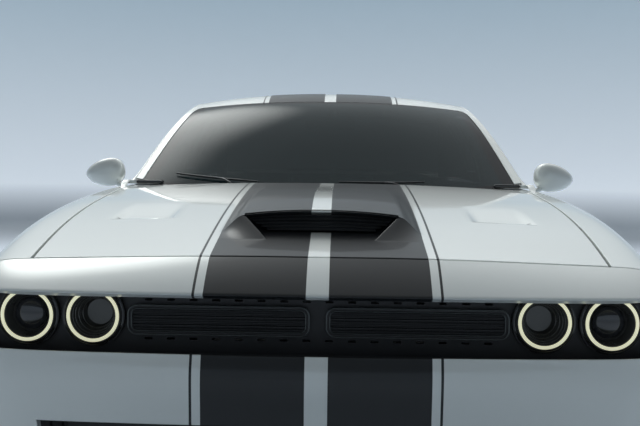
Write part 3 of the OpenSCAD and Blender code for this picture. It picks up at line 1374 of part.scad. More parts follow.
module caliper() {
  gap = 6;
  deep = disc_thickness / 2 + gap;
  difference() {
    box([-deep - 2 * gap, -disc_diameter / 2 - 3 * gap, -caliper_wrap],
      [deep + 2 * gap, -disc_diameter / 4, caliper_wrap]);
    box([-deep, -disc_diameter / 2 - gap, -2 * caliper_wrap], [deep, 0, 2 * caliper_wrap]);
  }
}
disc_inset = 44;
disc_inner = wheel_side - disc_inset;
module upright() {
  union() {
    translate([steer_axis_side, 0, upright_foot - axle_height])
      cylinder(r = upright_radius, h = upright_head - upright_foot);
    lying(2 * upright_radius, steer_axis_side, hub_inner);
    lying(bore_radius - bore_clearance, hub_inner - step, wheel_side);
    translate([disc_inner, 0, 0]) caliper();
    box([steer_axis_side, -disc_diameter / 3, -caliper_wrap / 2],
      [disc_inner - disc_thickness, 0, caliper_wrap / 2]);
  }
}
module knuckle() { translate([0, front_axle, axle_height]) upright(); }
module knuckle_front_left() { color(metal) knuckle(); }
module knuckle_front_right() { color(metal) flip() knuckle(); }
module rear_subframe() {
  pad = 60;
  color(metal) union() {
    both() translate([0, rear_axle, axle_height]) {
      upright();
      lying(shaft_radius / 2, 0, steer_axis_side);
      box([chassis_in, -pad, rear_beam_foot - axle_height - pad],
        [steer_axis_side, pad, rear_beam_foot - axle_height - seam]);
    }
    box([-chassis_out, rear_axle - pad, rear_beam_foot - 1.75 * pad],
      [chassis_out, rear_axle + pad, rear_beam_foot - pad / 2]);
    translate([0, rear_axle - housing_ahead, shaft_height]) back_tube(housing_radius, housing_length);
  }
}
rim_inset = 6;
hub_face = 24;
spoke_slot = 14;
spoke_end_share = 0.4;
lug_count = 5;
lug_circle = 57.5;
lug_radius = 10;
lug_depth = 18;
cap_radius = 30;
module spoke(bead) {
  difference() {
    polygon([[-spoke_width / 2, 0], [spoke_width / 2, 0],
      [spoke_width * spoke_end_share, bead - rim_wall / 2],
      [-spoke_width * spoke_end_share, bead - rim_wall / 2]]);
    polygon([[-spoke_slot / 2, hub_radius + spoke_slot], [spoke_slot / 2, hub_radius + spoke_slot],
      [spoke_slot, bead - spoke_slot - rim_wall], [-spoke_slot, bead - spoke_slot - rim_wall]]);
  }
}
module rim() {
  lip = rim_diameter / 2 + rim_flange;
  bead = rim_diameter / 2;
  half = tyre_width / 2 - rim_inset;
  face = half - spoke_inset;
  disc_low = disc_inner - wheel_side - disc_thickness / 2;
  difference() {
    union() {
      rotate([0, 90, 0]) rotate_extrude($fn = 96) polygon([
        [bead - rim_wall, -half], [lip, -half], [lip, -half + rim_wall],
          [bead, -half + rim_wall + rim_flange],
        [bead, half - rim_wall - rim_flange], [lip, half - rim_wall], [lip, half],
          [bead - rim_wall, half]]);
      for (k = [0 : spoke_count - 1]) rotate([360 * k / spoke_count, 0, 0])
        translate([face - spoke_depth, 0, 0])
        rotate([90, 0, 90]) linear_extrude(spoke_depth) spoke(bead);
      lying(hub_radius, disc_inner - wheel_side, face);
      lying(cap_radius, face - step, face + rim_wall);
      lying(disc_diameter / 2, disc_low, disc_low + disc_thickness);
    }
    lying(bore_radius, -tyre_width, hub_face);
    for (k = [0 : lug_count - 1]) rotate([360 * (k + 0.5) / lug_count, 0, 0])
      translate([0, 0, lug_circle])
      lying(lug_radius, face - lug_depth, face + step);
  }
}
tyre_wall = 12;
tyre_foot = 17;
tyre_shoulder = 26;
groove_count = 3;
groove_width = 9;
groove_depth = 7;
module tyre() {
  bead = rim_diameter / 2 + seam;
  half = tyre_width / 2;
  outer = tyre_diameter / 2;
  heel = half - 1.1 * tyre_foot - rim_flange;
  rotate([0, 90, 0]) difference() {
    rotate_extrude($fn = 128) polygon([
      [bead + rim_flange, -half + tyre_foot], [outer - 3 * tyre_shoulder, -half],
      [outer - tyre_shoulder, -half + tyre_wall / 3], [outer - tyre_wall / 2, -half + tyre_shoulder],
      [outer, -half + 2 * tyre_shoulder], [outer, half - 2 * tyre_shoulder],
      [outer - tyre_wall / 2, half - tyre_shoulder], [outer - tyre_shoulder, half - tyre_wall / 3],
      [outer - 3 * tyre_shoulder, half], [bead + rim_flange, half - tyre_foot],
      [bead, heel], [bead + tyre_wall, half - 3 * tyre_foot],
      [outer - tyre_shoulder, half - tyre_shoulder], [outer - tyre_shoulder, -half + tyre_shoulder],
      [bead + tyre_wall, -half + 3 * tyre_foot], [bead, -heel]]);
    for (k = [1 : groove_count]) translate([0, 0,
      mix(-half + tyre_shoulder, half - tyre_shoulder, k / (groove_count + 1))])
      rotate_extrude($fn = 128) translate([outer - groove_depth, -groove_width / 2])
        square([2 * groove_depth, groove_width]);
  }
}
module at_wheel(axle) {
  translate([wheel_side, axle, axle_height]) children();
}
module rim_front_left() { color(metal) at_wheel(front_axle) rim(); }
module rim_front_right() { color(metal) flip() at_wheel(front_axle) rim(); }
module rim_rear_left() { color(metal) at_wheel(rear_axle) rim(); }
module rim_rear_right() { color(metal) flip() at_wheel(rear_axle) rim(); }
module tyre_front_left() { color(rubber) at_wheel(front_axle) tyre(); }
module tyre_front_right() { color(rubber) flip() at_wheel(front_axle) tyre(); }
module tyre_rear_left() { color(rubber) at_wheel(rear_axle) tyre(); }
module tyre_rear_right() { color(rubber) flip() at_wheel(rear_axle) tyre(); }

front_fascia();
front_splitter();
grille();
lower_grille();
headlamps();
fender_left();
fender_right();
sill_left();
sill_right();
quarter_left();
quarter_right();
quarter_glass();
side_rails();
roof();
windscreen();
rear_glass();
deck_panel();
cowl();
wipers();
rear_fascia();
tail_lamps();
floor_pan();
hinge_posts();
wheelhouses();
parcel_shelf();
dashboard();
front_seats();
rear_seat();
engine();
driveline();
exhaust();
front_subframe();
rear_subframe();
hood();
scoop_grille();
trunk_lid();
rear_spoiler();
door_left();
door_right();
door_glass_left();
door_glass_right();
mirror_left();
mirror_right();
steering_wheel();
knuckle_front_left();
knuckle_front_right();
rim_front_left();
rim_front_right();
rim_rear_left();
rim_rear_right();
tyre_front_left();
tyre_front_right();
tyre_rear_left();
tyre_rear_right();
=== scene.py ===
import json
import math

import bpy
import numpy as np
from mathutils import Euler, Matrix


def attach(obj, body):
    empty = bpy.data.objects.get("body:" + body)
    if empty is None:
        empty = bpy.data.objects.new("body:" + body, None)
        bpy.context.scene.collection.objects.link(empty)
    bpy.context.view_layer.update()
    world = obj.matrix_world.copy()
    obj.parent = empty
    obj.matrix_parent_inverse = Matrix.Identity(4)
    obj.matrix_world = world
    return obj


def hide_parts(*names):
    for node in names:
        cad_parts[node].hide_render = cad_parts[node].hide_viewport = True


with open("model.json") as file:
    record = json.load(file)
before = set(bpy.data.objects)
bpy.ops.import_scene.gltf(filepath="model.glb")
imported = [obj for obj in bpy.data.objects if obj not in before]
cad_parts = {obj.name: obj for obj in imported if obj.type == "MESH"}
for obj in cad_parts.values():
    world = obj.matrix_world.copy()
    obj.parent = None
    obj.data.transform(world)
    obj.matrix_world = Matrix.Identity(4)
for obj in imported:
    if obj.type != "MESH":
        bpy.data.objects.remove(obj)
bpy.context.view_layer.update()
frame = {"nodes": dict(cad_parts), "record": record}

bl_info = {
    "name": "Muscle Car",
    "version": (1, 0, 0),
    "blender": (4, 5, 0),
    "location": "View3D > Sidebar > Car",
    "description": "Builds the painted body, glass, lamps, wheels and cabin of a two-door muscle car",
    "category": "Add Mesh",
}

# Shares of the overall sizes, the same tables that the solids follow.
SECTION_SHARES = np.array([
    [0.010, 0.905, 0.509, 0.775, 0.538], [0.046, 0.944, 0.537, 0.790, 0.562],
    [0.110, 0.976, 0.581, 0.816, 0.600], [0.188, 0.991, 0.619, 0.832, 0.636],
    [0.269, 0.986, 0.643, 0.840, 0.663], [0.339, 0.971, 0.654, 0.866, 0.679],
    [0.458, 0.964, 0.659, 0.885, 0.690], [0.588, 0.967, 0.666, 0.885, 0.697],
    [0.687, 0.986, 0.683, 0.872, 0.707], [0.775, 1.000, 0.699, 0.835, 0.718],
    [0.857, 0.995, 0.705, 0.775, 0.724], [0.936, 0.967, 0.695, 0.747, 0.717],
    [0.996, 0.924, 0.679, 0.733, 0.702]])
SIDE_SHARES = np.array([[0.935, 0.00], [0.972, 0.18], [1.004, 0.42], [1.010, 0.66], [1.003, 0.90],
                        [0.965, 1.01]])
TOP_SHARES = np.array([[1.00, 0.34], [0.62, 0.78], [0.30, 1.00], [0.00, 1.00]])
CANOPY_SHARES = np.array([
    [0.357, 0.866, 0.675, -0.0300, -0.040], [0.398, 0.826, 0.757, -0.0270, -0.014],
    [0.444, 0.770, 0.855, -0.0235, 0.010], [0.492, 0.706, 0.933, -0.0190, 0.028],
    [0.548, 0.691, 0.961, -0.0100, 0.036], [0.628, 0.681, 0.963, 0.0000, 0.037],
    [0.697, 0.689, 0.939, 0.0090, 0.036], [0.750, 0.716, 0.872, 0.0140, 0.028],
    [0.800, 0.740, 0.781, 0.0170, 0.016], [0.838, 0.757, 0.706, 0.0180, 0.010]])
NOSE_OUTLINE_SHARES = np.array([
    [0.00, 0.000], [0.25, 0.006], [0.50, 0.022], [0.75, 0.048], [0.92, 0.085],
    [0.998, 0.19], [1.005, 0.36], [1.000, 0.70], [1.000, 1.000]])
NOSE_ROW_SHARES = np.array([
    [0.134, 0.0150], [0.176, 0.0060], [0.215, 0.0040], [0.293, 0.0020],
    [0.359, 0.0000], [0.397, 0.0030], [0.441, 0.0060], [0.494, 0.0075]])
TAIL_OUTLINE_SHARES = np.array([
    [0.00, 0.000], [0.28, 0.004], [0.56, 0.016], [0.80, 0.044], [0.94, 0.085],
    [1.000, 0.18], [1.005, 0.33], [1.000, 0.66], [1.000, 1.000]])
TAIL_ROW_SHARES = np.array([
    [0.186, 0.0200], [0.225, 0.0050], [0.300, 0.0010], [0.414, 0.0000],
    [0.469, 0.0035], [0.493, 0.0090], [0.540, 0.0095], [0.628, 0.0100]])
DOOR_SHARES = (0.328, 0.596)
DOOR_DEPTH = 0.1135
GLASS_SHARES = (0.357, 0.487, 0.706, 0.832)
WINDOW_SHARES = (0.612, 0.680)
HOOD_REAR_SHARES = (0.3215, 0.3245)
LID_FRONT_SHARES = (0.8535, 0.852)
TAIL_WRAP = 4
PANE_SHARE = 0.383
WIPER_SHARES = ((-0.80, -0.36), (0.06, 0.50))
BLADE_RISE, BLADE_RADIUS = (0.071, 0.061), 0.0045
ARM_RADII = (0.0065, 0.0038)
PIVOT_RADIUS, PIVOT_HALF = 0.0095, 0.022
LIP_SHARES = (0.946, 0.972)
HOOD_FRONT_SHARE = 0.79
LID_REAR_SHARE = 0.74
# Openings of the bumper covers: columns to each side of the middle, first row and, for the chin, last row.
LAMP_OPENING = (39, 25)
CHIN_OPENING = (30, 6, 14)
TAIL_OPENING = (40, 30)
TAIL_BOX_HALF, TAIL_BOX_AHEAD, TAIL_BOX_DEPTH, TAIL_BOX_MARGIN = 0.760, 0.190, 0.072, 0.022
TRUNK_ALONG = (1.02, 2.30)
# Skins stand this far outside the solids, and the lower edge of the side panels this far above the sills.
SKIN_LIFT = 0.0012
SILL_LIFT = 0.0003
SIDE_SPREAD = 1.15
ARCH_END, ARCH_STEPS = math.radians(178.5), 54
# Bumper covers: where the closer steps of the corner begin, and the bow of the brow as shares of its depth.
CORNER_SHARE = 0.82
BROW_SHARE, BROW_OUT_SHARE, BROW_UP_SHARE = 0.42, 0.35, 0.22
SIDES = (("left", np.array([1.0, 1.0, 1.0])), ("right", np.array([-1.0, 1.0, 1.0])))


def mix(a, b, t):
    """A point the share t of the way from a to b."""
    return a + (b - a) * t


def ease(t):
    """Smooth step: 3t squared less 2t cubed, held between 0 and 1."""
    t = np.clip(t, 0.0, 1.0)
    return t * t * (3.0 - 2.0 * t)


def xyz(x, y, z):
    """Points from three arrays or numbers, each spread over the others' shape."""
    return np.stack(np.broadcast_arrays(x, y, z), -1)


def cubic(q0, q1, q2, q3, f):
    """Uniform cubic B-spline of four neighbouring points at the share f between the middle two."""
    g = 1.0 - f
    return (g ** 3 * q0 + (3 * f ** 3 - 6 * f ** 2 + 4) * q1
            + (3 * g ** 3 - 6 * g ** 2 + 4) * q2 + f ** 3 * q3) / 6.0


def spline(table, t):
    """Uniform cubic B-spline through doubled end points, at t from 0 to 1."""
    q = np.concatenate([table[:1], table[:1], table, table[-1:], table[-1:]])
    spans = len(q) - 3
    u = np.clip(np.asarray(t, float), 0.0, 1.0) * spans
    i = np.minimum(np.floor(u).astype(int), spans - 1)
    return cubic(q[i], q[i + 1], q[i + 2], q[i + 3], (u - i)[..., None])


def length(name, description, default):
    """A size in metres that a user may change."""
    return bpy.props.FloatProperty(name=name, description=description, default=default, unit="LENGTH")


def tone(name, description, default):
    """A colour that a user may change."""
    return bpy.props.FloatVectorProperty(name=name, description=description, default=default, size=3,
                                         subtype="COLOR")


def turned(name, description, degrees):
    """An angle that a user may change."""
    return bpy.props.FloatProperty(name=name, description=description, default=math.radians(degrees),
                                   subtype="ANGLE")


def runs(*stops):
    """Even steps between stops given as (value, steps to the next), the last a value alone."""
    parts = [np.linspace(a[0], (b[0] if isinstance(b, tuple) else b), a[1], endpoint=False)
             for a, b in zip(stops[:-1], stops[1:])]
    return np.concatenate(parts + [[stops[-1]]])


class CarSizes(bpy.types.PropertyGroup):
    """Sizes that the body, glass and wheels follow."""
    body_length: length("Body length", "Length over the bumpers", 5.020)
    body_width: length("Body width", "Width without the mirrors", 1.923)
    body_height: length("Body height", "Height of the roof", 1.450)
    wheelbase: length("Wheelbase", "Distance between the axles", 2.946)
    front_overhang: length("Front overhang", "Front end to the front axle", 0.945)
    wheel_side: length("Wheel side", "Wheel centre from the middle", 0.806)
    sill_height: length("Sill height", "Lower edge of the sills", 0.190)
    sill_top: length("Sill top", "Joint between sills and doors", 0.268)
    tyre_diameter: length("Tyre diameter", "Outside of the tyre", 0.728)
    tyre_width: length("Tyre width", "Width of the tyre", 0.245)
    rim_diameter: length("Rim diameter", "Diameter at the beads", 0.508)
    arch_radius: length("Arch radius", "Wheel arch opening", 0.402)
    panel_gap: length("Panel gap", "Gap round doors and lids", 0.007)
    cover_gap: length("Cover gap", "Gap beside the bumper covers", 0.004)
    hood_setback: length("Hood setback", "Hood edge behind the front end", 0.165)
    hood_sweep: length("Hood sweep", "Extra set-back at the sides", 0.066)
    tail_setback: length("Tail setback", "Lid edge ahead of the rear end", 0.062)
    tail_sweep: length("Tail sweep", "Extra set-back at the sides", 0.070)
    corner_seam: length("Corner seam", "Fender seam at the front corner", 0.716)
    arch_seam: length("Arch seam", "Fender seam at the wheel arch", 0.640)
    scoop_along: length("Scoop place", "Mouth of the scoop behind the front end", 0.430)
    scoop_rise: length("Scoop rise", "Height of the hood scoop", 0.062)
    scoop_half: length("Scoop half width", "Upper corners of the mouth from the middle", 0.221)
    scoop_lip_half: length("Scoop lip", "Half width of the mouth's lower lip", 0.148)
    scoop_blend: length("Scoop blend", "Width of the scoop's eased sides", 0.072)
    scoop_fade: length("Scoop fade", "Length over which the scoop runs out", 1.120)
    mouth_depth: length("Mouth depth", "Depth of the scoop's mouth", 0.040)
    ridge_length: length("Ridge length", "Length of the ridges ahead of the mouth", 0.088)
    ridge_wall: length("Ridge wall", "Width of the ridges' inner flanks", 0.045)
    vent_along: length("Vent place", "Front edge of the vents behind the front end", 0.640)
    vent_length: length("Vent length", "Length of the hood vents", 0.310)
    vent_depth: length("Vent depth", "Step at the vents' front edge", 0.015)
    vent_inner: length("Vent inner edge", "Inner edge of the vents from the middle", 0.486)
    vent_outer: length("Vent outer edge", "Outer edge of the vents from the middle", 0.622)
    vent_edge: length("Vent edge", "Width of the vents' eased edges", 0.032)
    hood_axis_behind: length("Hood axis", "Hinge axis behind the hood's edge", 0.058)
    hood_axis_below: length("Hood axis drop", "Hinge axis below the hood's edge", 0.060)
    hood_hinge_side: length("Hood hinges", "Hood hinges from the middle", 0.640)
    spoiler_lip: length("Spoiler lip", "Height of the rear lip", 0.038)
    frame_half_width: length("Grille half width", "Half width of a grille frame", 0.231)
    frame_half_height: length("Grille half height", "Half height of a grille frame", 0.038)
    frame_place: length("Grille place", "Middle of a grille frame from the car's middle", 0.252)
    frame_height: length("Grille height", "Middle of the grille frames above the ground", 0.640)
    mirror_side: length("Mirror side", "Mirrors from the middle", 0.997)
    mirror_along: length("Mirror place", "Mirrors behind the front end", 1.925)
    mirror_height: length("Mirror height", "Mirrors above the ground", 1.012)
    side_bulge: length("Side bulge", "Bow of the side above the belt", 0.036)
    handle_along: length("Handle place", "Door handles behind the front end", 2.800)
    handle_height: length("Handle height", "Door handles above the ground", 0.838)
    lamp_height: length("Lamp height", "Headlamp centres above the ground", 0.649)
    lamp_inner: length("Inner lamps", "Inner headlamps from the middle", 0.570)
    lamp_outer: length("Outer lamps", "Outer headlamps from the middle", 0.738)
    grille_setback: length("Grille setback", "Grille behind the front end", 0.150)
    seat_side: length("Seat side", "Front seats from the middle", 0.360)
    seat_along: length("Seat place", "Front seats behind the front end", 2.560)
    seat_half: length("Seat half width", "Half width of a front seat", 0.212)
    bench_half: length("Bench half width", "Half width of the rear bench", 0.590)
    stripe_half: length("Stripe half width", "Outer edge of the black bands", 0.279)
    stripe_gap: length("Middle stripe", "Half width of the white middle stripe", 0.028)


class CarColours(bpy.types.PropertyGroup):
    """Colours of the finishes."""
    pearl: tone("Pearl", "Body paint", (0.78, 0.82, 0.80))
    band: tone("Band", "Stripe vinyl", (0.012, 0.014, 0.016))
    tint: tone("Tint", "Window glass", (0.005, 0.018, 0.021))
    halo: tone("Halo", "Glow of the lamp rings", (0.80, 0.79, 0.56))
    lens: tone("Lens", "Tail lamp lens", (0.30, 0.008, 0.010))
    wall_low: tone("Wall, low", "Glow of the studio wall behind the car", (0.46, 0.51, 0.56))
    wall_high: tone("Wall, high", "Glow of the studio wall at its top", (0.20, 0.27, 0.32))
    floor: tone("Floor", "Studio floor", (0.42, 0.47, 0.53))


class CarStage(bpy.types.PropertyGroup):
    """Camera and light of the studio."""
    lens: bpy.props.FloatProperty(
        name="Lens", description="Focal length on a 36 mm sensor, in millimetres", default=52.1)
    eye: bpy.props.FloatVectorProperty(
        name="Eye", description="Place of the camera", default=(0.050, -4.704, 1.015), size=3,
        subtype="TRANSLATION")
    haze: bpy.props.FloatVectorProperty(
        name="Haze", description="Direction of the bright haze in the sky", default=(-0.33, 0.62, 0.71),
        size=3,
        subtype="DIRECTION")
    floor_radius: length("Floor radius", "Flat part of the studio floor", 15.0)
    wall_height: length("Wall height", "Height of the curved studio wall", 6.0)
    pitch: turned("Pitch", "Camera turned down", 2.41)
    yaw: turned("Yaw", "Camera turned left", 1.18)
    roll: turned("Roll", "Camera turned about its axis", 0.75)


class Form:
    """The body's own rules: stations along the car, the roof outline, and the cuts between panels."""

    def __init__(self, s):
        self.s = s
        self.L, self.W, self.H = s.body_length, s.body_width / 2, s.body_height
        self.nose, self.tail = -self.L / 2, self.L / 2
        self.front_axle = self.nose + s.front_overhang
        self.rear_axle = self.front_axle + s.wheelbase
        self.axle_z = s.tyre_diameter / 2
        self.t = np.linspace(0.0, 1.0, 6001)
        self.station_along = spline(SECTION_SHARES, self.t)[:, 0]
        self.canopy_along = spline(CANOPY_SHARES, self.t)[:, 0]
        self.meet = math.sqrt(s.arch_radius ** 2 - (s.arch_seam - self.axle_z) ** 2)
        self.corner_cut = float(self.hood_cut(self.W))
        self.tail_corner = float(self.tail_cut(self.W))
        self.tail_seam = TAIL_ROW_SHARES[TAIL_WRAP][0] * self.H

    def at(self, share):
        """Place along the car of a share of its length."""
        return self.nose + share * self.L

    def station(self, y):
        """Row of the station table at y, found by its first column."""
        share = (np.asarray(y, float) - self.nose) / self.L
        return spline(SECTION_SHARES, np.interp(share, self.station_along, self.t))

    def controls(self, y):
        """Control points of the half section at each y: the side up to the crest, then the top inwards."""
        r = self.station(y)
        w, c, e, m = r[:, 1] * self.W, r[:, 2] * self.H, r[:, 3] * self.W, r[:, 4] * self.H
        sill = self.s.sill_height
        x = np.concatenate([w[:, None] * SIDE_SHARES[:, 0], e[:, None] * TOP_SHARES[:, 0]], 1)
        z = np.concatenate([sill + (c - sill)[:, None] * SIDE_SHARES[:, 1],
                            c[:, None] + (m - c)[:, None] * TOP_SHARES[:, 1]], 1)
        p = np.stack([x, z], -1)
        return np.concatenate([p[:, :1], p[:, :1], p, p[:, -1:], p[:, -1:]], 1)

    @staticmethod
    def along(q, v):
        """Point of each section curve q at its own v."""
        spans = q.shape[1] - 3
        u = np.clip(v, 0.0, 1.0) * spans
        i = np.minimum(np.floor(u).astype(int), spans - 1)
        k = np.arange(len(v))
        return cubic(q[k, i], q[k, i + 1], q[k, i + 2], q[k, i + 3], (u - i)[:, None])

    def solve(self, q, goal, column, low, high, up):
        """Halves the interval of v until that column of the section meets its goal."""
        lo, hi = np.full(len(goal), low), np.full(len(goal), high)
        for _ in range(34):
            m = (lo + hi) / 2
            below = (self.along(q, m)[:, column] < goal) == up
            lo, hi = np.where(below, m, lo), np.where(below, hi, m)
        return (lo + hi) / 2

    def v_at_height(self, y, z):
        """Place on the section curve at that height of the side."""
        y, z = np.broadcast_arrays(np.asarray(y, float), np.asarray(z, float))
        return self.solve(self.controls(y.ravel()), z.ravel(), 1, 0.0, 1.0, True).reshape(y.shape)

    def v_at_side(self, y, x):
        """Place on the upper section curve at that distance from the middle."""
        y, x = np.broadcast_arrays(np.asarray(y, float), np.abs(np.asarray(x, float)))
        return self.solve(self.controls(y.ravel()), x.ravel(), 0, 0.45, 1.0, False).reshape(y.shape)

    def on_body(self, y, v):
        """Points of the left side at y and the places v of the section curve."""
        y, v = np.broadcast_arrays(np.asarray(y, float), np.asarray(v, float))
        p = self.along(self.controls(y.ravel()), v.ravel())
        return np.stack([p[:, 0], y.ravel(), p[:, 1]], -1).reshape(y.shape + (3,))

    def side_at(self, y, z):
        """Distance of the side from the middle at that height."""
        return self.on_body(*np.broadcast_arrays(np.asarray(y, float), self.v_at_height(y, z)))[..., 0]

    def edge_at(self, y):
        """Distance of the hood or belt edge from the middle, from the station table."""
        y = np.asarray(y, float)
        return (self.station(y.ravel())[:, 3] * self.W).reshape(y.shape)

    def top_at(self, x, y):
        """Height of the upper body at x and y."""
        x, y = np.broadcast_arrays(np.asarray(x, float), np.asarray(y, float))
        return self.on_body(y, self.v_at_side(y, x))[..., 2]

    def edge_point(self, y):
        """Point of the hood or belt edge at y."""
        y = np.asarray(y, float)
        x = self.edge_at(y)
        return np.stack([x, y, self.top_at(x, y)], -1)

    def canopy_row(self, y):
        """Row of the canopy table at y, found by its first column."""
        share = (np.asarray(y, float) - self.nose) / self.L
        return spline(CANOPY_SHARES, np.interp(share, self.canopy_along, self.t))

    def canopy_edge(self, y):
        """Point of the roof's side edge at y."""
        y = np.asarray(y, float)
        r = self.canopy_row(y)
        return np.stack([r[..., 1] * self.W, y, r[..., 2] * self.H], -1)

    def canopy(self, y, c, inset=0.0009):
        """Roof and glass: across by c from -1 to 1, bowed back and crowned by 1 less |c| to the power 2.2."""
        y, c = np.broadcast_arrays(np.asarray(y, float), np.asarray(c, float))
        r = self.canopy_row(y)
        k = 1.0 - np.abs(c) ** 2.2
        return np.stack([c * (r[..., 1] * self.W - inset), y + k * r[..., 3] * self.L,
                         (r[..., 2] + k * r[..., 4]) * self.H], -1)

    def hood_cut(self, x):
        """Seam ahead of the hood: set back by the square of the share of the width."""
        return self.nose + self.s.hood_setback + self.s.hood_sweep * (np.abs(x) / self.W) ** 2

    def hood_front(self, c):
        """Front edge of the hood at the share c of its half width."""
        return self.hood_cut(c * self.W * HOOD_FRONT_SHARE) + self.s.panel_gap

    def hood_rear(self, c):
        """Rear edge of the hood at the share c of its half width."""
        return self.at(mix(*HOOD_REAR_SHARES, c * c))

    def lid_front(self, c):
        """Front edge of the trunk lid at the share c of its half width."""
        return self.at(mix(*LID_FRONT_SHARES, c * c))

    def tail_cut(self, x):
        """Seam behind the lid: set forward by the square of the share of the width."""
        return self.tail - self.s.tail_setback - self.s.tail_sweep * (np.abs(x) / self.W) ** 2

    def arch_reach(self, z):
        """Reach of the wheel arch from the axle at that height, by its circle."""
        rise = np.minimum(z, self.s.arch_seam) - self.axle_z
        return np.where(rise < 0, self.s.arch_radius,
                        np.sqrt(np.maximum(self.s.arch_radius ** 2 - rise ** 2, 0)))

    def seam(self, top, d, reach):
        """Height of a fender seam: straight from its top down to the arch seam."""
        return mix(top, self.s.arch_seam, np.clip(d / reach, 0, 1))


def normals_of(grid):
    """Unit normals of a grid: the cross product of its differences along rows and columns."""
    a, b = np.gradient(grid, axis=0), np.gradient(grid, axis=1)
    n = np.cross(a, b)
    return n / np.maximum(np.linalg.norm(n, axis=-1, keepdims=True), 1e-12)


def new_piece(name, verts, faces, body, finish, normals=None, uv=None, replaces=(), sharp=None):
    """Puts vertex and face arrays into a mesh, with its own normals and UV where given. Without normals,
    edges over the angle sharp, in degrees, stay sharp."""
    groups = faces if isinstance(faces, list) else [faces]
    used = np.unique(np.concatenate([np.asarray(f).ravel() for f in groups]))
    verts = np.asarray(verts, float)[used]
    mesh = bpy.data.meshes.new(name)
    mesh.from_pydata(verts, [], [row for f in groups for row in np.searchsorted(used, f).tolist()])
    mesh.polygons.foreach_set("use_smooth", np.ones(len(mesh.polygons), bool))
    if uv is not None:
        layer = mesh.uv_layers.new(name="UVMap")
        loops = np.empty(len(mesh.loops), int)
        mesh.loops.foreach_get("vertex_index", loops)
        layer.data.foreach_set("uv", np.asarray(uv, float)[used][loops].ravel())
    mesh.update()
    if normals is not None:
        mesh.normals_split_custom_set_from_vertices(np.asarray(normals, float)[used])
    elif sharp:
        mesh.set_sharp_from_angle(angle=math.radians(sharp))
    obj = bpy.data.objects.new(name, mesh)
    bpy.context.scene.collection.objects.link(obj)
    mesh.materials.append(FINISHES[finish])
    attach(obj, body)
    if replaces:
        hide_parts(*replaces)
    return obj


def quads(rows, cols, first=0, flip=False, round_rows=False, round_cols=False):
    """Faces of a grid of rows by columns whose first vertex has that index, closed round where asked."""
    i, j = np.meshgrid(np.arange(rows - (not round_rows)), np.arange(cols - (not round_cols)), indexing="ij")
    i2, j2 = (i + 1) % rows, (j + 1) % cols
    f = np.stack([i * cols + j, i2 * cols + j, i2 * cols + j2, i * cols + j2], -1).reshape(-1, 4) + first
    return f[:, ::-1] if flip else f


def panel_arrays(grid, thick, edge=0.0025, mask=None, uv=None):
    """A sheet of a wall's thickness: the outer grid, an eased edge, the rim and the inner grid.
    The edge is drawn in by its radius along the sheet and down by it along the normal."""
    n, m = grid.shape[:2]
    mask = np.ones((n - 1, m - 1), bool) if mask is None else mask
    nrm = normals_of(grid)
    pad = np.zeros((n + 1, m + 1), bool)
    pad[1:-1, 1:-1] = mask
    centre = np.zeros((n + 1, m + 1, 3))
    centre[1:-1, 1:-1] = (grid[:-1, :-1] + grid[1:, :-1] + grid[:-1, 1:] + grid[1:, 1:]) / 4
    count = np.zeros((n, m))
    pull = np.zeros((n, m, 3))
    for a in (0, 1):
        for b in (0, 1):
            here = pad[a:a + n, b:b + m]
            count += here
            pull += np.where(here[..., None], centre[a:a + n, b:b + m] - grid, 0.0)
    pull -= nrm * np.sum(pull * nrm, -1, keepdims=True)
    pull /= np.maximum(np.linalg.norm(pull, axis=-1, keepdims=True), 1e-9)
    rim = ((count > 0) & (count < 4))[..., None]
    pull = np.where(rim, pull, 0.0)
    wide = np.where(count == 2, 1.0, 1.414)[..., None]
    layers = [grid + edge * wide * pull, grid - edge * nrm, grid - thick * nrm, grid - thick * nrm]
    verts = np.concatenate([p.reshape(-1, 3) for p in layers])
    norms = np.concatenate([p.reshape(-1, 3) for p in (nrm, -pull, -pull, -nrm)])
    size = n * m
    i, j = np.nonzero(mask)

    def v(a, b, layer):
        return a * m + b + layer * size

    faces = [np.stack([v(i, j, 0), v(i + 1, j, 0), v(i + 1, j + 1, 0), v(i, j + 1, 0)], -1),
             np.stack([v(i, j, 3), v(i, j + 1, 3), v(i + 1, j + 1, 3), v(i + 1, j, 3)], -1)]
    sides = ((pad[:-2, 1:-1], (0, 0), (0, 1)), (pad[2:, 1:-1], (1, 1), (1, 0)),
             (pad[1:-1, :-2], (1, 0), (0, 0)), (pad[1:-1, 2:], (0, 1), (1, 1)))
    for beside, p, q in sides:
        a, b = np.nonzero(mask & ~beside)
        for top in (0, 1):
            faces.append(np.stack([v(a + p[0], b + p[1], top), v(a + q[0], b + q[1], top),
                                   v(a + q[0], b + q[1], top + 1), v(a + p[0], b + p[1], top + 1)], -1))
    uvs = None if uv is None else np.concatenate([uv.reshape(-1, 2)] * 4)
    return verts, np.concatenate(faces), norms, uvs


def panel(name, grid, body, finish, thick=0.012, edge=0.0025, mask=None, uv=None, slot="paint", replaces=()):
    """One piece from a grid: a sheet of that thickness, its edges eased by that radius."""
    verts, faces, norms, uvs = panel_arrays(grid, thick, edge, mask, uv)
    return new_piece(name, verts, faces, body, finish, norms, uvs, replaces)


def mirrored(grid):
    """The grid on the other side of the car, its rows turned so that it still faces out."""
    return (grid * np.array([-1.0, 1.0, 1.0]))[::-1]


def both_sides(name, grid, finish, nodes=None, mask=None, door=False, **more):
    """The same panel on the left and, mirrored, on the right, riding on the body or on the doors."""
    for side in ("left", "right"):
        left = side == "left"
        panel(f"{name}_{side}", grid if left else mirrored(grid), f"{side}_door" if door else "body", finish,
              mask=mask if mask is None or left else mask[::-1],
              replaces=(f"{nodes}_{side}",) if nodes else (), **more)


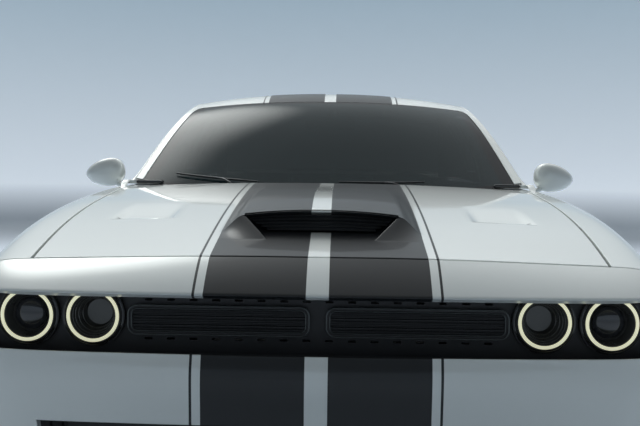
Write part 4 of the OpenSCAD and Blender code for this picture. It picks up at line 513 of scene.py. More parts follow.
class Build:
    """Collects grids and closed forms into the arrays of one piece."""

    def __init__(self):
        self.verts, self.faces, self.count = [], [], 0

    def add(self, verts, *faces):
        """Takes vertices and faces that count from the first of them."""
        self.verts.append(verts.reshape(-1, 3))
        self.faces.extend(f + self.count for f in faces)
        self.count += len(self.verts[-1])

    def closed(self, rings):
        """A form through closed rings, its two ends capped at their middles, turned to face outwards."""
        n, m = rings.shape[:2]
        verts = np.concatenate([rings.reshape(-1, 3), rings[:1].mean(1), rings[-1:].mean(1)])
        j = np.arange(m)
        k = (j + 1) % m
        sides = quads(n, m, round_cols=True)
        caps = np.concatenate([np.stack([np.full(m, n * m), j, k], -1),
                               np.stack([np.full(m, n * m + 1), k + (n - 1) * m, j + (n - 1) * m], -1)])
        self.add(verts, *outward(verts, sides, caps))

    def ring(self, loops):
        """A form through closed loops that meet round, such as a tyre."""
        n, m = loops.shape[:2]
        self.add(loops, *outward(loops.reshape(-1, 3), quads(n, m, round_rows=True, round_cols=True)))

    def piece(self, name, body, finish, slot=None, replaces=(), sharp=38.0):
        """Makes the piece from all that was collected."""
        return new_piece(name, np.concatenate(self.verts), self.faces, body, finish,
                         replaces=replaces, sharp=sharp)


def outward(verts, *groups):
    """Turns the faces round when the volume that they enclose comes out negative."""
    middle = verts.mean(0)
    volume = 0.0
    for f in groups:
        p = verts[f] - middle
        for k in range(1, f.shape[1] - 1):
            volume += np.einsum("ij,ij->", p[:, 0], np.cross(p[:, k], p[:, k + 1]))
    return [f[:, ::-1] for f in groups] if volume < 0 else list(groups)


def circle(steps, start=0.0):
    """Unit circle as cosines and sines."""
    a = np.linspace(0.0, 2 * np.pi, steps, endpoint=False) + start
    return np.stack([np.cos(a), np.sin(a)], -1)


def rounded_outline(half, radius, corner=8):
    """Rectangle of those half sizes with round corners, anticlockwise."""
    q = np.arange(4)[:, None]
    a = (q + np.linspace(0, 1, corner)[None, :]) * np.pi / 2
    sx, sz = np.where((q == 0) | (q == 3), 1, -1), np.where(q < 2, 1, -1)
    x, z = sx * (half[0] - radius) + radius * np.cos(a), sz * (half[1] - radius) + radius * np.sin(a)
    return np.stack([x, z], -1).reshape(-1, 2)


def spun(profile, steps, place, axis="x"):
    """Rings of a profile of (radius, along) turned about a line through place, along X or, for lamps, -Y."""
    c = circle(steps)
    r, d = profile[:, :1], np.broadcast_to(profile[:, 1:], (len(profile), steps))
    p, q = r * c[:, 0], r * c[:, 1]
    return np.stack([d, p, q] if axis == "x" else [p, -d, q], -1) + np.asarray(place)


def tube(path, radius, sides=10, tall=1.0):
    """Rings of a round section along a path; radius may change along it, and tall stretches it upwards."""
    along = np.gradient(path, axis=0)
    along /= np.linalg.norm(along, axis=1, keepdims=True)
    up = np.array([0.0, 0.0, 1.0]) if np.abs(along[:, 2]).max() < 0.9 else np.array([1.0, 0.0, 0.0])
    side = np.cross(along, up)
    side /= np.linalg.norm(side, axis=1, keepdims=True)
    rise = np.cross(side, along)
    r = np.broadcast_to(radius, len(path))[:, None, None]
    c = circle(sides)
    return path[:, None] + r * (c[None, :, :1] * side[:, None] + tall * c[None, :, 1:] * rise[:, None])


def loop_tube(points, radius, sides=8):
    """Loops of a round section along a closed path that lies in a plane facing the front."""
    along = np.roll(points, -1, 0) - np.roll(points, 1, 0)
    along /= np.linalg.norm(along, axis=1, keepdims=True)
    front = np.array([0.0, -1.0, 0.0])
    side = np.cross(along, front)
    c = circle(sides) * radius
    return points[:, None] + c[None, :, :1] * side[:, None] + c[None, :, 1:] * front


def slab(low, high, edge=0.003):
    """Rings of a box with eased edges between two corners, stacked along X."""
    low, high = np.asarray(low, float), np.asarray(high, float)
    half, mid = (high - low) / 2, (high + low) / 2
    edge = min(edge, half.min() * 0.9)
    rings = []
    for x, inset in ((-half[0], edge), (-half[0] + edge, 0.0), (half[0] - edge, 0.0), (half[0], edge)):
        o = rounded_outline((half[1] - inset, half[2] - inset), max(edge - inset * 0.5, 1e-4), 3)
        rings.append(np.concatenate([np.full((len(o), 1), x), o], 1) + mid)
    return np.stack(rings)


def finish_of(name, values):
    """A new material with a shader, whose named inputs get their values, and an output."""
    mat = bpy.data.materials.new(name)
    mat.use_nodes = True
    shader = mat.node_tree.nodes["Principled BSDF"]
    for key, value in values.items():
        shader.inputs[key].default_value = value
    return mat, mat.node_tree, shader


def between(tree, value, low, high):
    """1 where a value lies between two others, else 0."""
    return math_node(tree, "MULTIPLY", math_node(tree, "GREATER_THAN", value, low),
                     math_node(tree, "LESS_THAN", value, high))


def node(tree, kind, **values):
    """A node with its settings and the values of its named inputs."""
    made = tree.nodes.new(kind)
    for key, value in values.items():
        if hasattr(made, key):
            setattr(made, key, value)
        else:
            made.inputs[key].default_value = value
    return made


def math_node(tree, operation, a, b=None):
    """One sum of two sockets or numbers."""
    made = tree.nodes.new("ShaderNodeMath")
    made.operation = operation
    for socket, value in zip(made.inputs, (a, b)):
        if value is None:
            continue
        if isinstance(value, (int, float)):
            socket.default_value = value
        else:
            tree.links.new(value, socket)
    return made.outputs[0]


def mix_colour(tree, factor, a, b):
    """Mixes two colours, given as sockets or values, by a socket."""
    made = tree.nodes.new("ShaderNodeMix")
    made.data_type = "RGBA"
    tree.links.new(factor, made.inputs["Factor"])
    for socket, value in ((made.inputs[6], a), (made.inputs[7], b)):
        if isinstance(value, bpy.types.NodeSocket):
            tree.links.new(value, socket)
        else:
            socket.default_value = (*value, 1.0)
    return made.outputs[2]


def bump_from(tree, shader, height, strength, distance=0.001):
    """Puts a height socket on the shader's normal."""
    bump = node(tree, "ShaderNodeBump", Strength=strength, Distance=distance)
    tree.links.new(height, bump.inputs["Height"])
    tree.links.new(bump.outputs["Normal"], shader.inputs["Normal"])


def noise(tree, scale, detail=3.0):
    """Noise on the piece's own coordinates."""
    where = tree.nodes.new("ShaderNodeTexCoord")
    made = node(tree, "ShaderNodeTexNoise", Scale=scale, Detail=detail)
    tree.links.new(where.outputs["Object"], made.inputs["Vector"])
    return made.outputs["Fac"]


def scaled(tree, value, low, high, first=0.0, last=1.0, kind="LINEAR"):
    """A value between first and last turned into a number between low and high."""
    made = node(tree, "ShaderNodeMapRange", interpolation_type=kind)
    tree.links.new(value, made.inputs["Value"])
    for socket, number in zip(("From Min", "From Max", "To Min", "To Max"), (first, last, low, high)):
        made.inputs[socket].default_value = number
    return made.outputs["Result"]


def coordinates(tree, source):
    """X, Y and Z sockets of the piece's own coordinates, of the sky's direction or of the UV map."""
    if source == "UV":
        where = node(tree, "ShaderNodeUVMap", uv_map="UVMap")
    else:
        where = node(tree, "ShaderNodeTexCoord")
    apart = node(tree, "ShaderNodeSeparateXYZ")
    tree.links.new(where.outputs[source], apart.inputs[0])
    return apart.outputs


def drifting(tree, factor, colour, low, high):
    """A colour that drifts between two shares of itself."""
    return mix_colour(tree, factor, tuple(c * low for c in colour), tuple(min(1.0, c * high) for c in colour))


def paint_finish(name, colours, stripes=None, mouth=False):
    """Pearl paint under clear coat. Stripes follow the distance from the middle, and widen along the car.
    With a mouth, painted shade turns the hood's openings black too, where the UV map's X is 1: the scoop's
    hollow and the front of the vents."""
    mat, tree, shader = finish_of(name, {"Coat Weight": 1.0, "Coat Roughness": 0.04, "Metallic": 0.12})
    colour = drifting(tree, noise(tree, 2600.0, 1.0), colours.pearl, 0.955, 1.03)
    rough = scaled(tree, noise(tree, 3.0), 0.26, 0.34)
    if stripes:
        x, y, _ = coordinates(tree, "Object")
        across = math_node(tree, "ABSOLUTE", x)
        outer = math_node(tree, "MULTIPLY", scaled(tree, y, *stripes["widen"]), stripes["half"])
        pin = math_node(tree, "ADD", outer, stripes["gap"])
        black = math_node(tree, "MAXIMUM", between(tree, across, stripes["middle"], outer),
                          between(tree, across, pin, math_node(tree, "ADD", pin, stripes["pin"])))
        # Painted shade: the UV map's X blacks out the scoop's hollow and the front of the vents' steps.
        if mouth:
            black = math_node(tree, "MAXIMUM", black, coordinates(tree, "UV")["X"])
        colour = mix_colour(tree, black, colour, tuple(colours.band))
        rough = math_node(tree, "ADD", rough, math_node(tree, "MULTIPLY", black, 0.12))
        coat = math_node(tree, "SUBTRACT", 1.0, math_node(tree, "MULTIPLY", black, 0.75))
        tree.links.new(coat, shader.inputs["Coat Weight"])
    tree.links.new(colour, shader.inputs["Base Color"])
    tree.links.new(rough, shader.inputs["Roughness"])
    bump_from(tree, shader, noise(tree, 900.0, 2.0), 0.015, 0.0004)
    return mat


def plain_finish(name, colour, rough, metal=0.0, grain=0.0, scale=400.0, coat=0.0):
    """A finish with a little drift in colour and gloss, and a fine grain."""
    mat, tree, shader = finish_of(name, {"Metallic": metal, "Coat Weight": coat})
    drift, spread = noise(tree, 9.0, 4.0), 0.06
    tree.links.new(drifting(tree, drift, colour, 0.88, 1.12), shader.inputs["Base Color"])
    tree.links.new(scaled(tree, drift, max(rough - spread, 0.02), rough + spread), shader.inputs["Roughness"])
    if grain:
        bump_from(tree, shader, noise(tree, scale, 4.0), grain)
    return mat


def glass_finish(name, colours, border=None):
    """Dark tinted glass. With a border, the fired black edge follows the UV map."""
    mat, tree, shader = finish_of(name, {"Roughness": 0.03, "IOR": 1.40, "Alpha": 0.80})
    colour = drifting(tree, noise(tree, 1.5), colours.tint, 0.8, 1.2)
    if border:
        near = []
        for along, width in zip(coordinates(tree, "UV"), border):
            away = math_node(tree, "ABSOLUTE", math_node(tree, "SUBTRACT", along, 0.5))
            near.append(math_node(tree, "GREATER_THAN", away, 0.5 - width))
        colour = mix_colour(tree, math_node(tree, "MAXIMUM", *near), colour, (0.006, 0.006, 0.007))
    tree.links.new(colour, shader.inputs["Base Color"])
    return mat


def tail_finish(name, colours):
    """Red lens with upright ribs, a brighter ring near its edge and a dark middle, by the UV map and X."""
    mat, tree, shader = finish_of(name, {"Emission Color": (0.60, 0.015, 0.015, 1.0), "Roughness": 0.10,
                                         "Coat Weight": 1.0})
    across = math_node(tree, "ABSOLUTE", coordinates(tree, "Object")["X"])
    middle = math_node(tree, "LESS_THAN", across, 0.20)
    away = math_node(tree, "ABSOLUTE", math_node(tree, "SUBTRACT", coordinates(tree, "UV")["Y"], 0.5))
    ring = between(tree, away, 0.30, 0.42)
    red = drifting(tree, ring, colours.lens, 1.0, 2.2)
    tree.links.new(mix_colour(tree, middle, red, (0.010, 0.010, 0.011)), shader.inputs["Base Color"])
    lit = math_node(tree, "SUBTRACT", 0.5, math_node(tree, "MULTIPLY", middle, 0.5))
    tree.links.new(math_node(tree, "MULTIPLY", ring, lit), shader.inputs["Emission Strength"])
    bump_from(tree, shader, math_node(tree, "SINE", math_node(tree, "MULTIPLY", across, 700.0)), 0.25, 0.001)
    return mat


def halo_finish(name, colours):
    """Warm glow of the lamp rings."""
    mat, tree, shader = finish_of(name, {"Emission Strength": 0.62, "Roughness": 0.25})
    colour = drifting(tree, noise(tree, 40.0), colours.halo, 1.0, 1.05)
    for socket in ("Base Color", "Emission Color"):
        tree.links.new(colour, shader.inputs[socket])
    return mat


def lens_finish(name):
    """Dark glass of the projector lenses."""
    mat, tree, shader = finish_of(name, {"Roughness": 0.03, "Coat Weight": 1.0})
    colour = mix_colour(tree, noise(tree, 25.0), (0.012, 0.013, 0.016), (0.030, 0.032, 0.038))
    tree.links.new(colour, shader.inputs["Base Color"])
    return mat


FINISHES = {}


def make_finishes(context):
    """All finishes of the car, by name."""
    c, s = context.scene.car_colours, context.scene.car_sizes
    wide = {"half": s.stripe_half, "middle": s.stripe_gap, "gap": 0.021, "pin": 0.0065,
            "widen": (1.0, 1.09, -s.body_length / 2, 0.0)}
    FINISHES.update({
        "paint": paint_finish("pearl_paint", c),
        "striped": paint_finish("striped_paint", c, wide),
        # The hood's finish adds painted shade in the scoop's hollow and at the vents' fronts.
        "striped_hood": paint_finish("striped_hood_paint_painted_shade", c, wide, True),
        "glass": glass_finish("tinted_glass", c),
        "screen": glass_finish("windscreen_glass", c, (0.035, 0.05)),
        "halo": halo_finish("lamp_halo", c),
        "tail_lens": tail_finish("tail_lens", c),
        "lens": lens_finish("projector_glass"),
        "plastic": plain_finish("black_plastic", (0.018, 0.018, 0.020), 0.45, grain=0.10, scale=700.0),
        "gloss": plain_finish("gloss_black", (0.012, 0.012, 0.013), 0.14, coat=0.6),
        "mesh": plain_finish("mesh_black", (0.014, 0.015, 0.016), 0.40),
        "rubber": plain_finish("tyre_rubber", (0.022, 0.022, 0.023), 0.72, grain=0.25, scale=500.0),
        "alloy": plain_finish("machined_alloy", (0.56, 0.57, 0.59), 0.26, metal=1.0, grain=0.03, scale=250.0),
        "dark_alloy": plain_finish("dark_alloy", (0.07, 0.07, 0.075), 0.34, metal=0.7, coat=0.4),
        "chrome": plain_finish("bright_trim", (0.72, 0.73, 0.75), 0.10, metal=1.0),
        "steel": plain_finish("bare_steel", (0.30, 0.30, 0.31), 0.42, metal=0.9, grain=0.12, scale=180.0),
        "underbody": plain_finish("underbody_coat", (0.035, 0.035, 0.037), 0.65, grain=0.4, scale=160.0),
        "cabin": plain_finish("cabin_plastic", (0.028, 0.028, 0.030), 0.55, grain=0.35, scale=850.0),
        "leather": plain_finish("seat_leather", (0.030, 0.029, 0.029), 0.46, grain=0.5, scale=420.0),
        "carpet": plain_finish("carpet", (0.020, 0.020, 0.022), 0.9, grain=0.9, scale=1500.0),
        "wiper": plain_finish("wiper_metal", (0.055, 0.056, 0.058), 0.32, metal=0.4, grain=0.05),
        "satin": plain_finish("satin_grey", (0.12, 0.13, 0.13), 0.36, metal=0.5),
        "disc": plain_finish("brake_disc", (0.34, 0.33, 0.32), 0.32, metal=1.0, grain=0.10, scale=90.0),
        "bowl": plain_finish("lamp_bowl", (0.12, 0.12, 0.115), 0.24, metal=0.55),
        "seal": plain_finish("rubber_seal", (0.010, 0.010, 0.010), 0.60, grain=0.1, scale=600.0),
    })


def form_of(context):
    """The body's rules with the sizes that are set now."""
    return Form(context.scene.car_sizes)


def side_span(form, y, low, t):
    """Side of the car from a lower edge up to the hood or belt edge, by the share t of the section curve."""
    return form.on_body(y, mix(form.v_at_height(y, low), form.v_at_side(y, form.edge_at(y)), t))


def fender_surface(form):
    """Fender: between the lower edge over the arch and the hood edge, each column along the section curve."""
    s = form.s
    first = form.front_axle - form.meet
    reach = first - form.corner_cut
    angle = np.linspace(math.acos(form.meet / s.arch_radius), ARCH_END, ARCH_STEPS)
    arch_y = form.front_axle - s.arch_radius * np.cos(angle)
    front = np.linspace(0, 1, 14)[:-1]
    ahead = mix(form.corner_cut, first, front)
    rear = np.linspace(form.front_axle + s.arch_radius + 0.002, form.at(DOOR_SHARES[0]) - s.panel_gap, 16)
    y = np.concatenate([ahead, arch_y, rear])
    low = np.concatenate([form.seam(s.corner_seam, ahead - form.corner_cut, reach) + s.cover_gap,
                          form.axle_z + s.arch_radius * np.sin(angle),
                          np.full(len(rear), s.sill_top + SILL_LIFT)])
    y2, t2 = np.broadcast_arrays(y[:, None], np.linspace(0, 1, 44)[None, :] ** SIDE_SPREAD)
    k = np.concatenate([1 - front, np.zeros(len(arch_y) + len(rear))])[:, None]
    low2 = np.broadcast_to(low[:, None], y2.shape)
    for _ in range(2):
        p = side_span(form, y2, low2, t2)
        y2 = y[:, None] + k * (form.hood_cut(p[..., 0]) + s.cover_gap - form.corner_cut)
    return arch_lip(side_span(form, y2, low2, t2), form.front_axle, form)


def arch_lip(grid, axle, form):
    """Raises a soft lip round the wheel arch, a bell curve of the distance from the arch edge."""
    d = np.hypot(grid[..., 1] - axle, grid[..., 2] - form.axle_z) - form.s.arch_radius
    out = 0.006 * np.exp(-(np.maximum(d, 0) / 0.020) ** 2) * ease((grid[..., 2] - 0.27) / 0.05)
    return grid + xyz(out, 0, 0)


def side_point(form, y, h):
    """Side above the belt: from the belt edge to the roof edge, bowed out by 4h(1 - h)."""
    y, h = np.broadcast_arrays(y, h)
    bow = form.s.side_bulge * 4 * h * (1 - h)
    return mix(form.edge_point(y), form.canopy_edge(y), h[..., None]) + xyz(bow, 0, 0)


def quarter_surface(form):
    """Quarter panel with its sail: rows from the lower edge to the belt, then on to the roof edge, with the
    window left open."""
    s = form.s
    first = form.rear_axle + form.meet
    reach = form.tail_corner - first
    sail_end = mix(form.at(GLASS_SHARES[3]), form.at(LID_FRONT_SHARES[1]), 0.7)
    front = form.at(DOOR_SHARES[1]) + s.panel_gap
    w0, w1 = form.at(WINDOW_SHARES[0]), form.at(WINDOW_SHARES[1])
    angle = np.linspace(ARCH_END, math.acos(form.meet / s.arch_radius), ARCH_STEPS)
    arch_y = form.rear_axle + s.arch_radius * np.cos(angle)
    base = np.unique(np.round(np.concatenate([
        np.linspace(front, w0, 5), np.linspace(w0, w1, 16), np.linspace(w1, sail_end, 28), arch_y,
        np.linspace(sail_end, form.tail_corner, 20)]), 6))
    y = base[np.concatenate([[True], np.diff(base) > 0.0015])]
    for stop in (w0, w1, sail_end):
        y[np.argmin(np.abs(y - stop))] = stop
    d = y - form.rear_axle
    arch = form.axle_z + np.sqrt(np.maximum(s.arch_radius ** 2 - d ** 2, 0))
    low = np.where(y > first, form.seam(form.tail_seam, form.tail_corner - y, reach) + s.cover_gap,
                   np.where(d > -s.arch_radius * 0.9997, arch, s.sill_top + SILL_LIFT))
    t = np.linspace(0, 1, 44) ** SIDE_SPREAD
    k = np.clip((y - sail_end) / (form.tail_corner - sail_end), 0, 1)[:, None]
    y2, t2 = np.broadcast_arrays(y[:, None], t[None, :])
    low2 = np.broadcast_to(low[:, None], y2.shape)
    for _ in range(2):
        p = side_span(form, y2, low2, t2)
        y2 = y[:, None] + k * (form.tail_cut(p[..., 0]) - s.cover_gap - form.tail_corner)
    lower = arch_lip(side_span(form, y2, low2, t2), form.rear_axle, form)
    h = np.concatenate([np.linspace(0, 0.13, 5)[1:], np.linspace(0.13, 0.88, 14)[1:],
                        np.linspace(0.88, 1, 5)[1:]])
    sail = side_point(form, np.minimum(y, sail_end)[:, None], h[None, :])
    grid = np.concatenate([lower, sail], 1)
    mask = np.ones((grid.shape[0] - 1, grid.shape[1] - 1), bool)
    a, b, last = (np.argmin(np.abs(y - stop)) for stop in (w0, w1, sail_end))
    belt = len(t) - 1
    mask[last:, belt:] = False
    mask[a:b, belt + 4:belt + 17] = False
    return grid, mask


def door_surface(form):
    """Door skin between the sill joint and the belt edge."""
    y = np.linspace(form.at(DOOR_SHARES[0]), form.at(DOOR_SHARES[1]), 72)
    y2, t2 = np.broadcast_arrays(y[:, None], np.linspace(0, 1, 46)[None, :])
    return side_span(form, y2, form.s.sill_top + form.s.panel_gap, t2)


def end_steps(corner):
    """Places along a bumper outline from the middle to the arch, closer at the corner."""
    return np.concatenate([np.linspace(0, CORNER_SHARE * corner, 40)[:-1],
                           np.linspace(CORNER_SHARE * corner, corner, 15)[:-1],
                           np.linspace(corner, 1, 14)])


def row_values(rows, r):
    """Height and set-back between rows, by a cubic through the neighbouring rows."""
    r = np.asarray(r, float)
    i = np.clip(np.floor(r).astype(int), 0, len(rows) - 2)
    f = (r - i)[..., None]
    p0, p1, p2, p3 = (rows[np.clip(i + k, 0, len(rows) - 1)] for k in (-1, 0, 1, 2))
    m1, m2 = (p2 - p0) / 2, (p3 - p1) / 2
    return ((2 * f ** 3 - 3 * f ** 2 + 1) * p1 + (f ** 3 - 2 * f ** 2 + f) * m1
            + (-2 * f ** 3 + 3 * f ** 2) * p2 + (f ** 3 - f ** 2) * m2)


def nose_point(form, a, r):
    """Front cover below the brow: outline place a, row r. The set-back fades out round the corner."""
    s = form.s
    a, r = np.broadcast_arrays(np.asarray(a, float), np.asarray(r, float))
    p, row = spline(NOSE_OUTLINE_SHARES, a), row_values(NOSE_ROW_SHARES, r)
    z = row[..., 0] * form.H
    y = mix(form.nose + row[..., 1] * form.L * (1 - ease(a)), form.front_axle - form.arch_reach(z), p[..., 1])
    last = form.seam(s.corner_seam, y - form.corner_cut, form.front_axle - form.meet - form.corner_cut)
    top = NOSE_ROW_SHARES[-1][0] * form.H
    z = z - ease((r - 5) / 2) * (top - last)
    return np.stack([p[..., 0] * form.side_at(y, z), y, z], -1)


def tail_point(form, a, r):
    """Rear cover: outline place a, row r; above the wrap row it stays behind the quarter's edge."""
    a, r = np.broadcast_arrays(np.asarray(a, float), np.asarray(r, float))
    p, row = spline(TAIL_OUTLINE_SHARES, a), row_values(TAIL_ROW_SHARES, r)
    z = row[..., 0] * form.H
    y = mix(form.tail - row[..., 1] * form.L * (1 - ease(a)), form.rear_axle + form.arch_reach(z), p[..., 1])
    held = np.maximum(y, form.tail_cut(p[..., 0] * form.side_at(y, z)))
    y = np.where(r > TAIL_WRAP, held, y)
    last = form.seam(form.tail_seam, form.tail_corner - y, form.tail_corner - form.rear_axle - form.meet)
    drop = np.where(r <= TAIL_WRAP, ease((r - 2) / 2), 0.0)
    z = z - drop * (form.tail_seam - last)
    return np.stack([p[..., 0] * form.side_at(y, z), y, z], -1)


def meeting(point, row, cut, sign):
    """The outline place where a row passes the seam of the side panel, by halving."""
    lo, hi = 0.0, 1.0
    for _ in range(24):
        m = (lo + hi) / 2
        p = point(m, row)
        if (p[1] - cut(p[0])) * sign < 0:
            lo = m
        else:
            hi = m
    return (lo + hi) / 2


def end_grid(form, front):
    """Grid of a bumper cover from arch to arch; the rows above its last row run on to the lid's edge."""
    rows = NOSE_ROW_SHARES if front else TAIL_ROW_SHARES
    point = (lambda a, r: nose_point(form, a, r)) if front else (lambda a, r: tail_point(form, a, r))
    cut = form.hood_cut if front else form.tail_cut
    wrap = len(rows) - 1 if front else TAIL_WRAP
    corner = meeting(point, wrap, cut, 1 if front else -1)
    a = end_steps(corner)
    r = np.concatenate([np.linspace(k, k + 1, 6)[:-1] for k in range(len(rows) - 1)] + [[len(rows) - 1]])
    low = point(a[:, None], r[None, :])
    last = low[:, -1]
    x = np.minimum(last[:, 0], form.W * 0.93)
    y = np.maximum(cut(x), last[:, 1]) if front else np.minimum(cut(x), last[:, 1])
    top = xyz(x, y, form.top_at(x, y))
    t = np.linspace(0, 1, 15)[1:]
    span = np.abs(top - last)[:, 1]
    lift = xyz(0, (-BROW_OUT_SHARE if front else BROW_OUT_SHARE) * span, BROW_UP_SHARE * span)
    bow = (BROW_SHARE * t * (1 - t))[None, :, None]
    brow = mix(last[:, None], top[:, None], t[None, :, None]) + lift[:, None] * bow
    half = np.concatenate([low, brow], 1)
    other = half * np.array([-1.0, 1.0, 1.0])
    grid = np.concatenate([other[:0:-1], half]) if front else np.concatenate([half[:0:-1], other])
    return grid, {"corner": int(np.argmin(np.abs(a - corner))), "middle": len(a) - 1,
                  "last": low.shape[1] - 1, "wrap": int(np.argmin(np.abs(r - wrap)))}


class CAR_OT_front_cover(bpy.types.Operator):
    """Front bumper cover with the brow, the lamp opening and the chin opening"""
    bl_idname = "car.front_cover"
    bl_label = "Front cover"

    def execute(self, context):
        grid, at = end_grid(form_of(context), True)
        mask = np.ones((grid.shape[0] - 1, grid.shape[1] - 1), bool)
        m, corner, last = at["middle"], at["corner"], at["last"]
        mask[:m - corner, last:] = False
        mask[m + corner:, last:] = False
        for half, low, high in ((*LAMP_OPENING, last), CHIN_OPENING):
            mask[m - half:m + half, low:high] = False
        panel("front_cover", grid, "body", "striped", thick=0.020, mask=mask, replaces=("front_fascia",))
        return {"FINISHED"}


class CAR_OT_fenders(bpy.types.Operator):
    """Front fenders over the wheels"""
    bl_idname = "car.fenders"
    bl_label = "Fenders"

    def execute(self, context):
        both_sides("front_fender", fender_surface(form_of(context)), "paint", "fender", thick=0.018)
        return {"FINISHED"}


class CAR_OT_quarters(bpy.types.Operator):
    """Rear quarter panels with the roof sails"""
    bl_idname = "car.quarters"
    bl_label = "Quarters"

    def execute(self, context):
        grid, mask = quarter_surface(form_of(context))
        both_sides("quarter_panel", grid, "paint", "quarter", mask=mask, thick=0.018)
        return {"FINISHED"}


# Rows of the scoop's mouth: depth, height, half width between the lip and the upper corners.
MOUTH_SHARES = np.array([
    [0, 0, 0], [0.9, 0.02, 0.05], [1, 0.45, 0.62], [0.92, 0.84, 0.88], [0.05, 0.88, 1], [-0.04, 1, 1]])
SCOOP_ARCH_SHARE = 0.22
FADE_SHARE = 1.1
LAST_ROW_SHARE = 0.298
SLAT_HEIGHT_SHARES = (0.12, 0.80)
SLAT_HALF, SLAT_EDGE, SLAT_DEPTH = (0.006, 0.0022), 0.002, 0.020
# Hinge arms of the hood as two boxes and a sleeve of (radius, along), in metres from the hinge.
HOOD_ARM_BOXES = (((-0.006, -0.248, -0.020), (0.006, -0.012, -0.002)),
                  ((-0.006, -0.248, -0.020), (0.006, -0.125, 0.030)))
HOOD_SLEEVE = np.array([[0.0095, -0.023], [0.015, -0.023], [0.015, 0.023], [0.0095, 0.023]])


def hood_lining(form):
    """Inner panel of the hood: its outline a little below the skin, with fields pressed up between ribs."""
    c = np.linspace(0.97, -0.97, 61)[None, :]
    t = np.linspace(0.02, 0.985, 60)[:, None]
    y = mix(form.hood_front(c), form.hood_rear(c), t)
    x = c * (form.edge_at(y) - form.s.panel_gap)
    field = ease(np.abs(np.sin(3 * np.pi * t)) * 3 - 0.6) * ease(np.abs(np.sin(4 * np.pi * c)) * 3 - 0.6)
    return xyz(x, y, form.top_at(x, y) - 0.024 + 0.010 * field * ease((0.9 - np.abs(c)) / 0.1))


class Scoop:
    """Rules of the hood scoop and the vents, the same that the solid hood follows."""

    def __init__(self, form):
        self.s = form.s
        self.form = form
        self.mouth = form.nose + form.s.scoop_along
        self.vent = form.nose + form.s.vent_along

    def top(self, x):
        """Height of the scoop: an arch across its mouth, eased into the hood beside it."""
        s, ax = self.s, np.abs(x)
        arch = 1 - SCOOP_ARCH_SHARE * np.minimum(ax / s.scoop_half, 1) ** 2
        return s.scoop_rise * arch * (1 - ease((ax - s.scoop_half) / s.scoop_blend))

    def ridge(self, x, y):
        """Ridges that rise towards the upper corners of the mouth."""
        s, ax = self.s, np.abs(x)
        u = np.clip(1 + (y - self.mouth) / s.ridge_length, 0, 1)
        r, w = mix(s.scoop_lip_half, s.scoop_half, u), mix(0.002, s.ridge_wall, u)
        return (u * self.top(s.scoop_half) * ease((ax - r + w) / w)
                * (1 - ease((ax - r) / (s.scoop_half + s.scoop_blend - r))))

    def bump(self, x, y):
        """Rise of the hood: ridges ahead of the mouth, the scoop behind it, fading out."""
        s = self.s
        fade = ease((self.mouth + s.scoop_fade - y) / s.scoop_fade * FADE_SHARE)
        return np.where(y < self.mouth, self.ridge(x, y), self.top(x) * fade)

    def dip(self, x, y):
        """Vents: a step down at the front edge that runs out to the rear."""
        s, ax, d = self.s, np.abs(x), y - self.vent
        across = ease((ax - s.vent_inner) / s.vent_edge + 1) * ease((s.vent_outer - ax) / s.vent_edge + 1)
        return np.where(d < 0.001, 0.0, s.vent_depth * ease(1 - d / s.vent_length) * across)

    def rows(self, y, c):
        """Rows of the hood at y, across by the shares c of the width between the hood's gaps."""
        x = c * (self.form.edge_at(y) - self.s.panel_gap)
        return np.stack([x, y, self.form.top_at(x, y) + self.bump(x, y) - self.dip(x, y)], -1)


def hood_surface(form):
    """Hood: across by columns, back by rows. At the mouth the rows fold back into a hollow that follows the
    table of the mouth; between its half width and the rest of the hood they blend over a few millimetres."""
    s, scoop = form.s, Scoop(form)
    half = runs((1, 6), (0.84, 18), (0.58, 8), (0.40, 14), (0.285, 34), (0.165, 12), 0)
    c = np.concatenate([half, -half[-2::-1]])
    y_front = form.hood_front(c)[None, :]
    start = scoop.mouth - 1.25 * s.ridge_length
    ahead = np.linspace(start, scoop.mouth - 0.013, 30)[:, None]
    t = np.linspace(0, 1, 14)[:-1, None]
    a = scoop.rows(np.concatenate([mix(y_front, start, t), np.broadcast_to(ahead, (30, len(c)))]), c[None, :])
    k = np.linspace(0, len(MOUTH_SHARES) - 1, 31)
    table = np.stack([np.interp(k, np.arange(len(MOUTH_SHARES)), MOUTH_SHARES[:, j]) for j in range(3)], -1)
    place = np.broadcast_to((scoop.mouth - 0.012 + 0.0119 * k / k[-1])[:, None], (len(k), len(c)))
    out = scoop.rows(place, c[None, :])
    x = np.broadcast_to(c * (form.edge_at(np.array([scoop.mouth])) - s.panel_gap), place.shape)
    wide = mix(s.scoop_lip_half, s.scoop_half, table[:, 2:])
    weight = ease((wide - np.abs(x)) / 0.008 + 0.5)
    deep = xyz(x, scoop.mouth + table[:, :1] * s.mouth_depth,
               form.top_at(x, scoop.mouth) + table[:, 1:2] * scoop.top(x))
    fold = mix(out, deep, weight[..., None])
    last = form.at(LAST_ROW_SHARE)
    behind = np.concatenate([np.linspace(scoop.mouth + 0.006, scoop.vent, 26)[:-1],
                             [scoop.vent, scoop.vent + 0.0015],
                             np.linspace(scoop.vent + 0.006, scoop.vent + s.vent_length, 30)[:-1],
                             np.linspace(scoop.vent + s.vent_length, last, 24)])[:, None]
    rear = mix(last, form.hood_rear(c)[None, :], np.linspace(0, 1, 8)[1:, None])
    d = scoop.rows(np.concatenate([np.broadcast_to(behind, (len(behind), len(c))), rear]), c[None, :])
    grid = np.concatenate([a, fold, d])
    # Painted shade in the UV map's X: the hollow of the scoop's mouth goes black by the blend weight.
    dark = np.zeros(grid.shape[:2])
    inside = (table[:, 1] > 0.0) & (table[:, 1] < 0.93)
    dark[len(a):len(a) + len(k)] = np.where(inside[:, None], weight, 0.0)
    # Painted shadow: the front 50 mm of each vent's step goes black where the step is over half deep.
    vent_step_share = scoop.dip(grid[..., 0], grid[..., 1]) / s.vent_depth
    dark = np.maximum(dark, np.where((grid[..., 1] - scoop.vent < 0.05) & (vent_step_share > 0.55), 1.0, 0.0))
    return grid, np.stack([dark, np.zeros_like(dark)], -1)


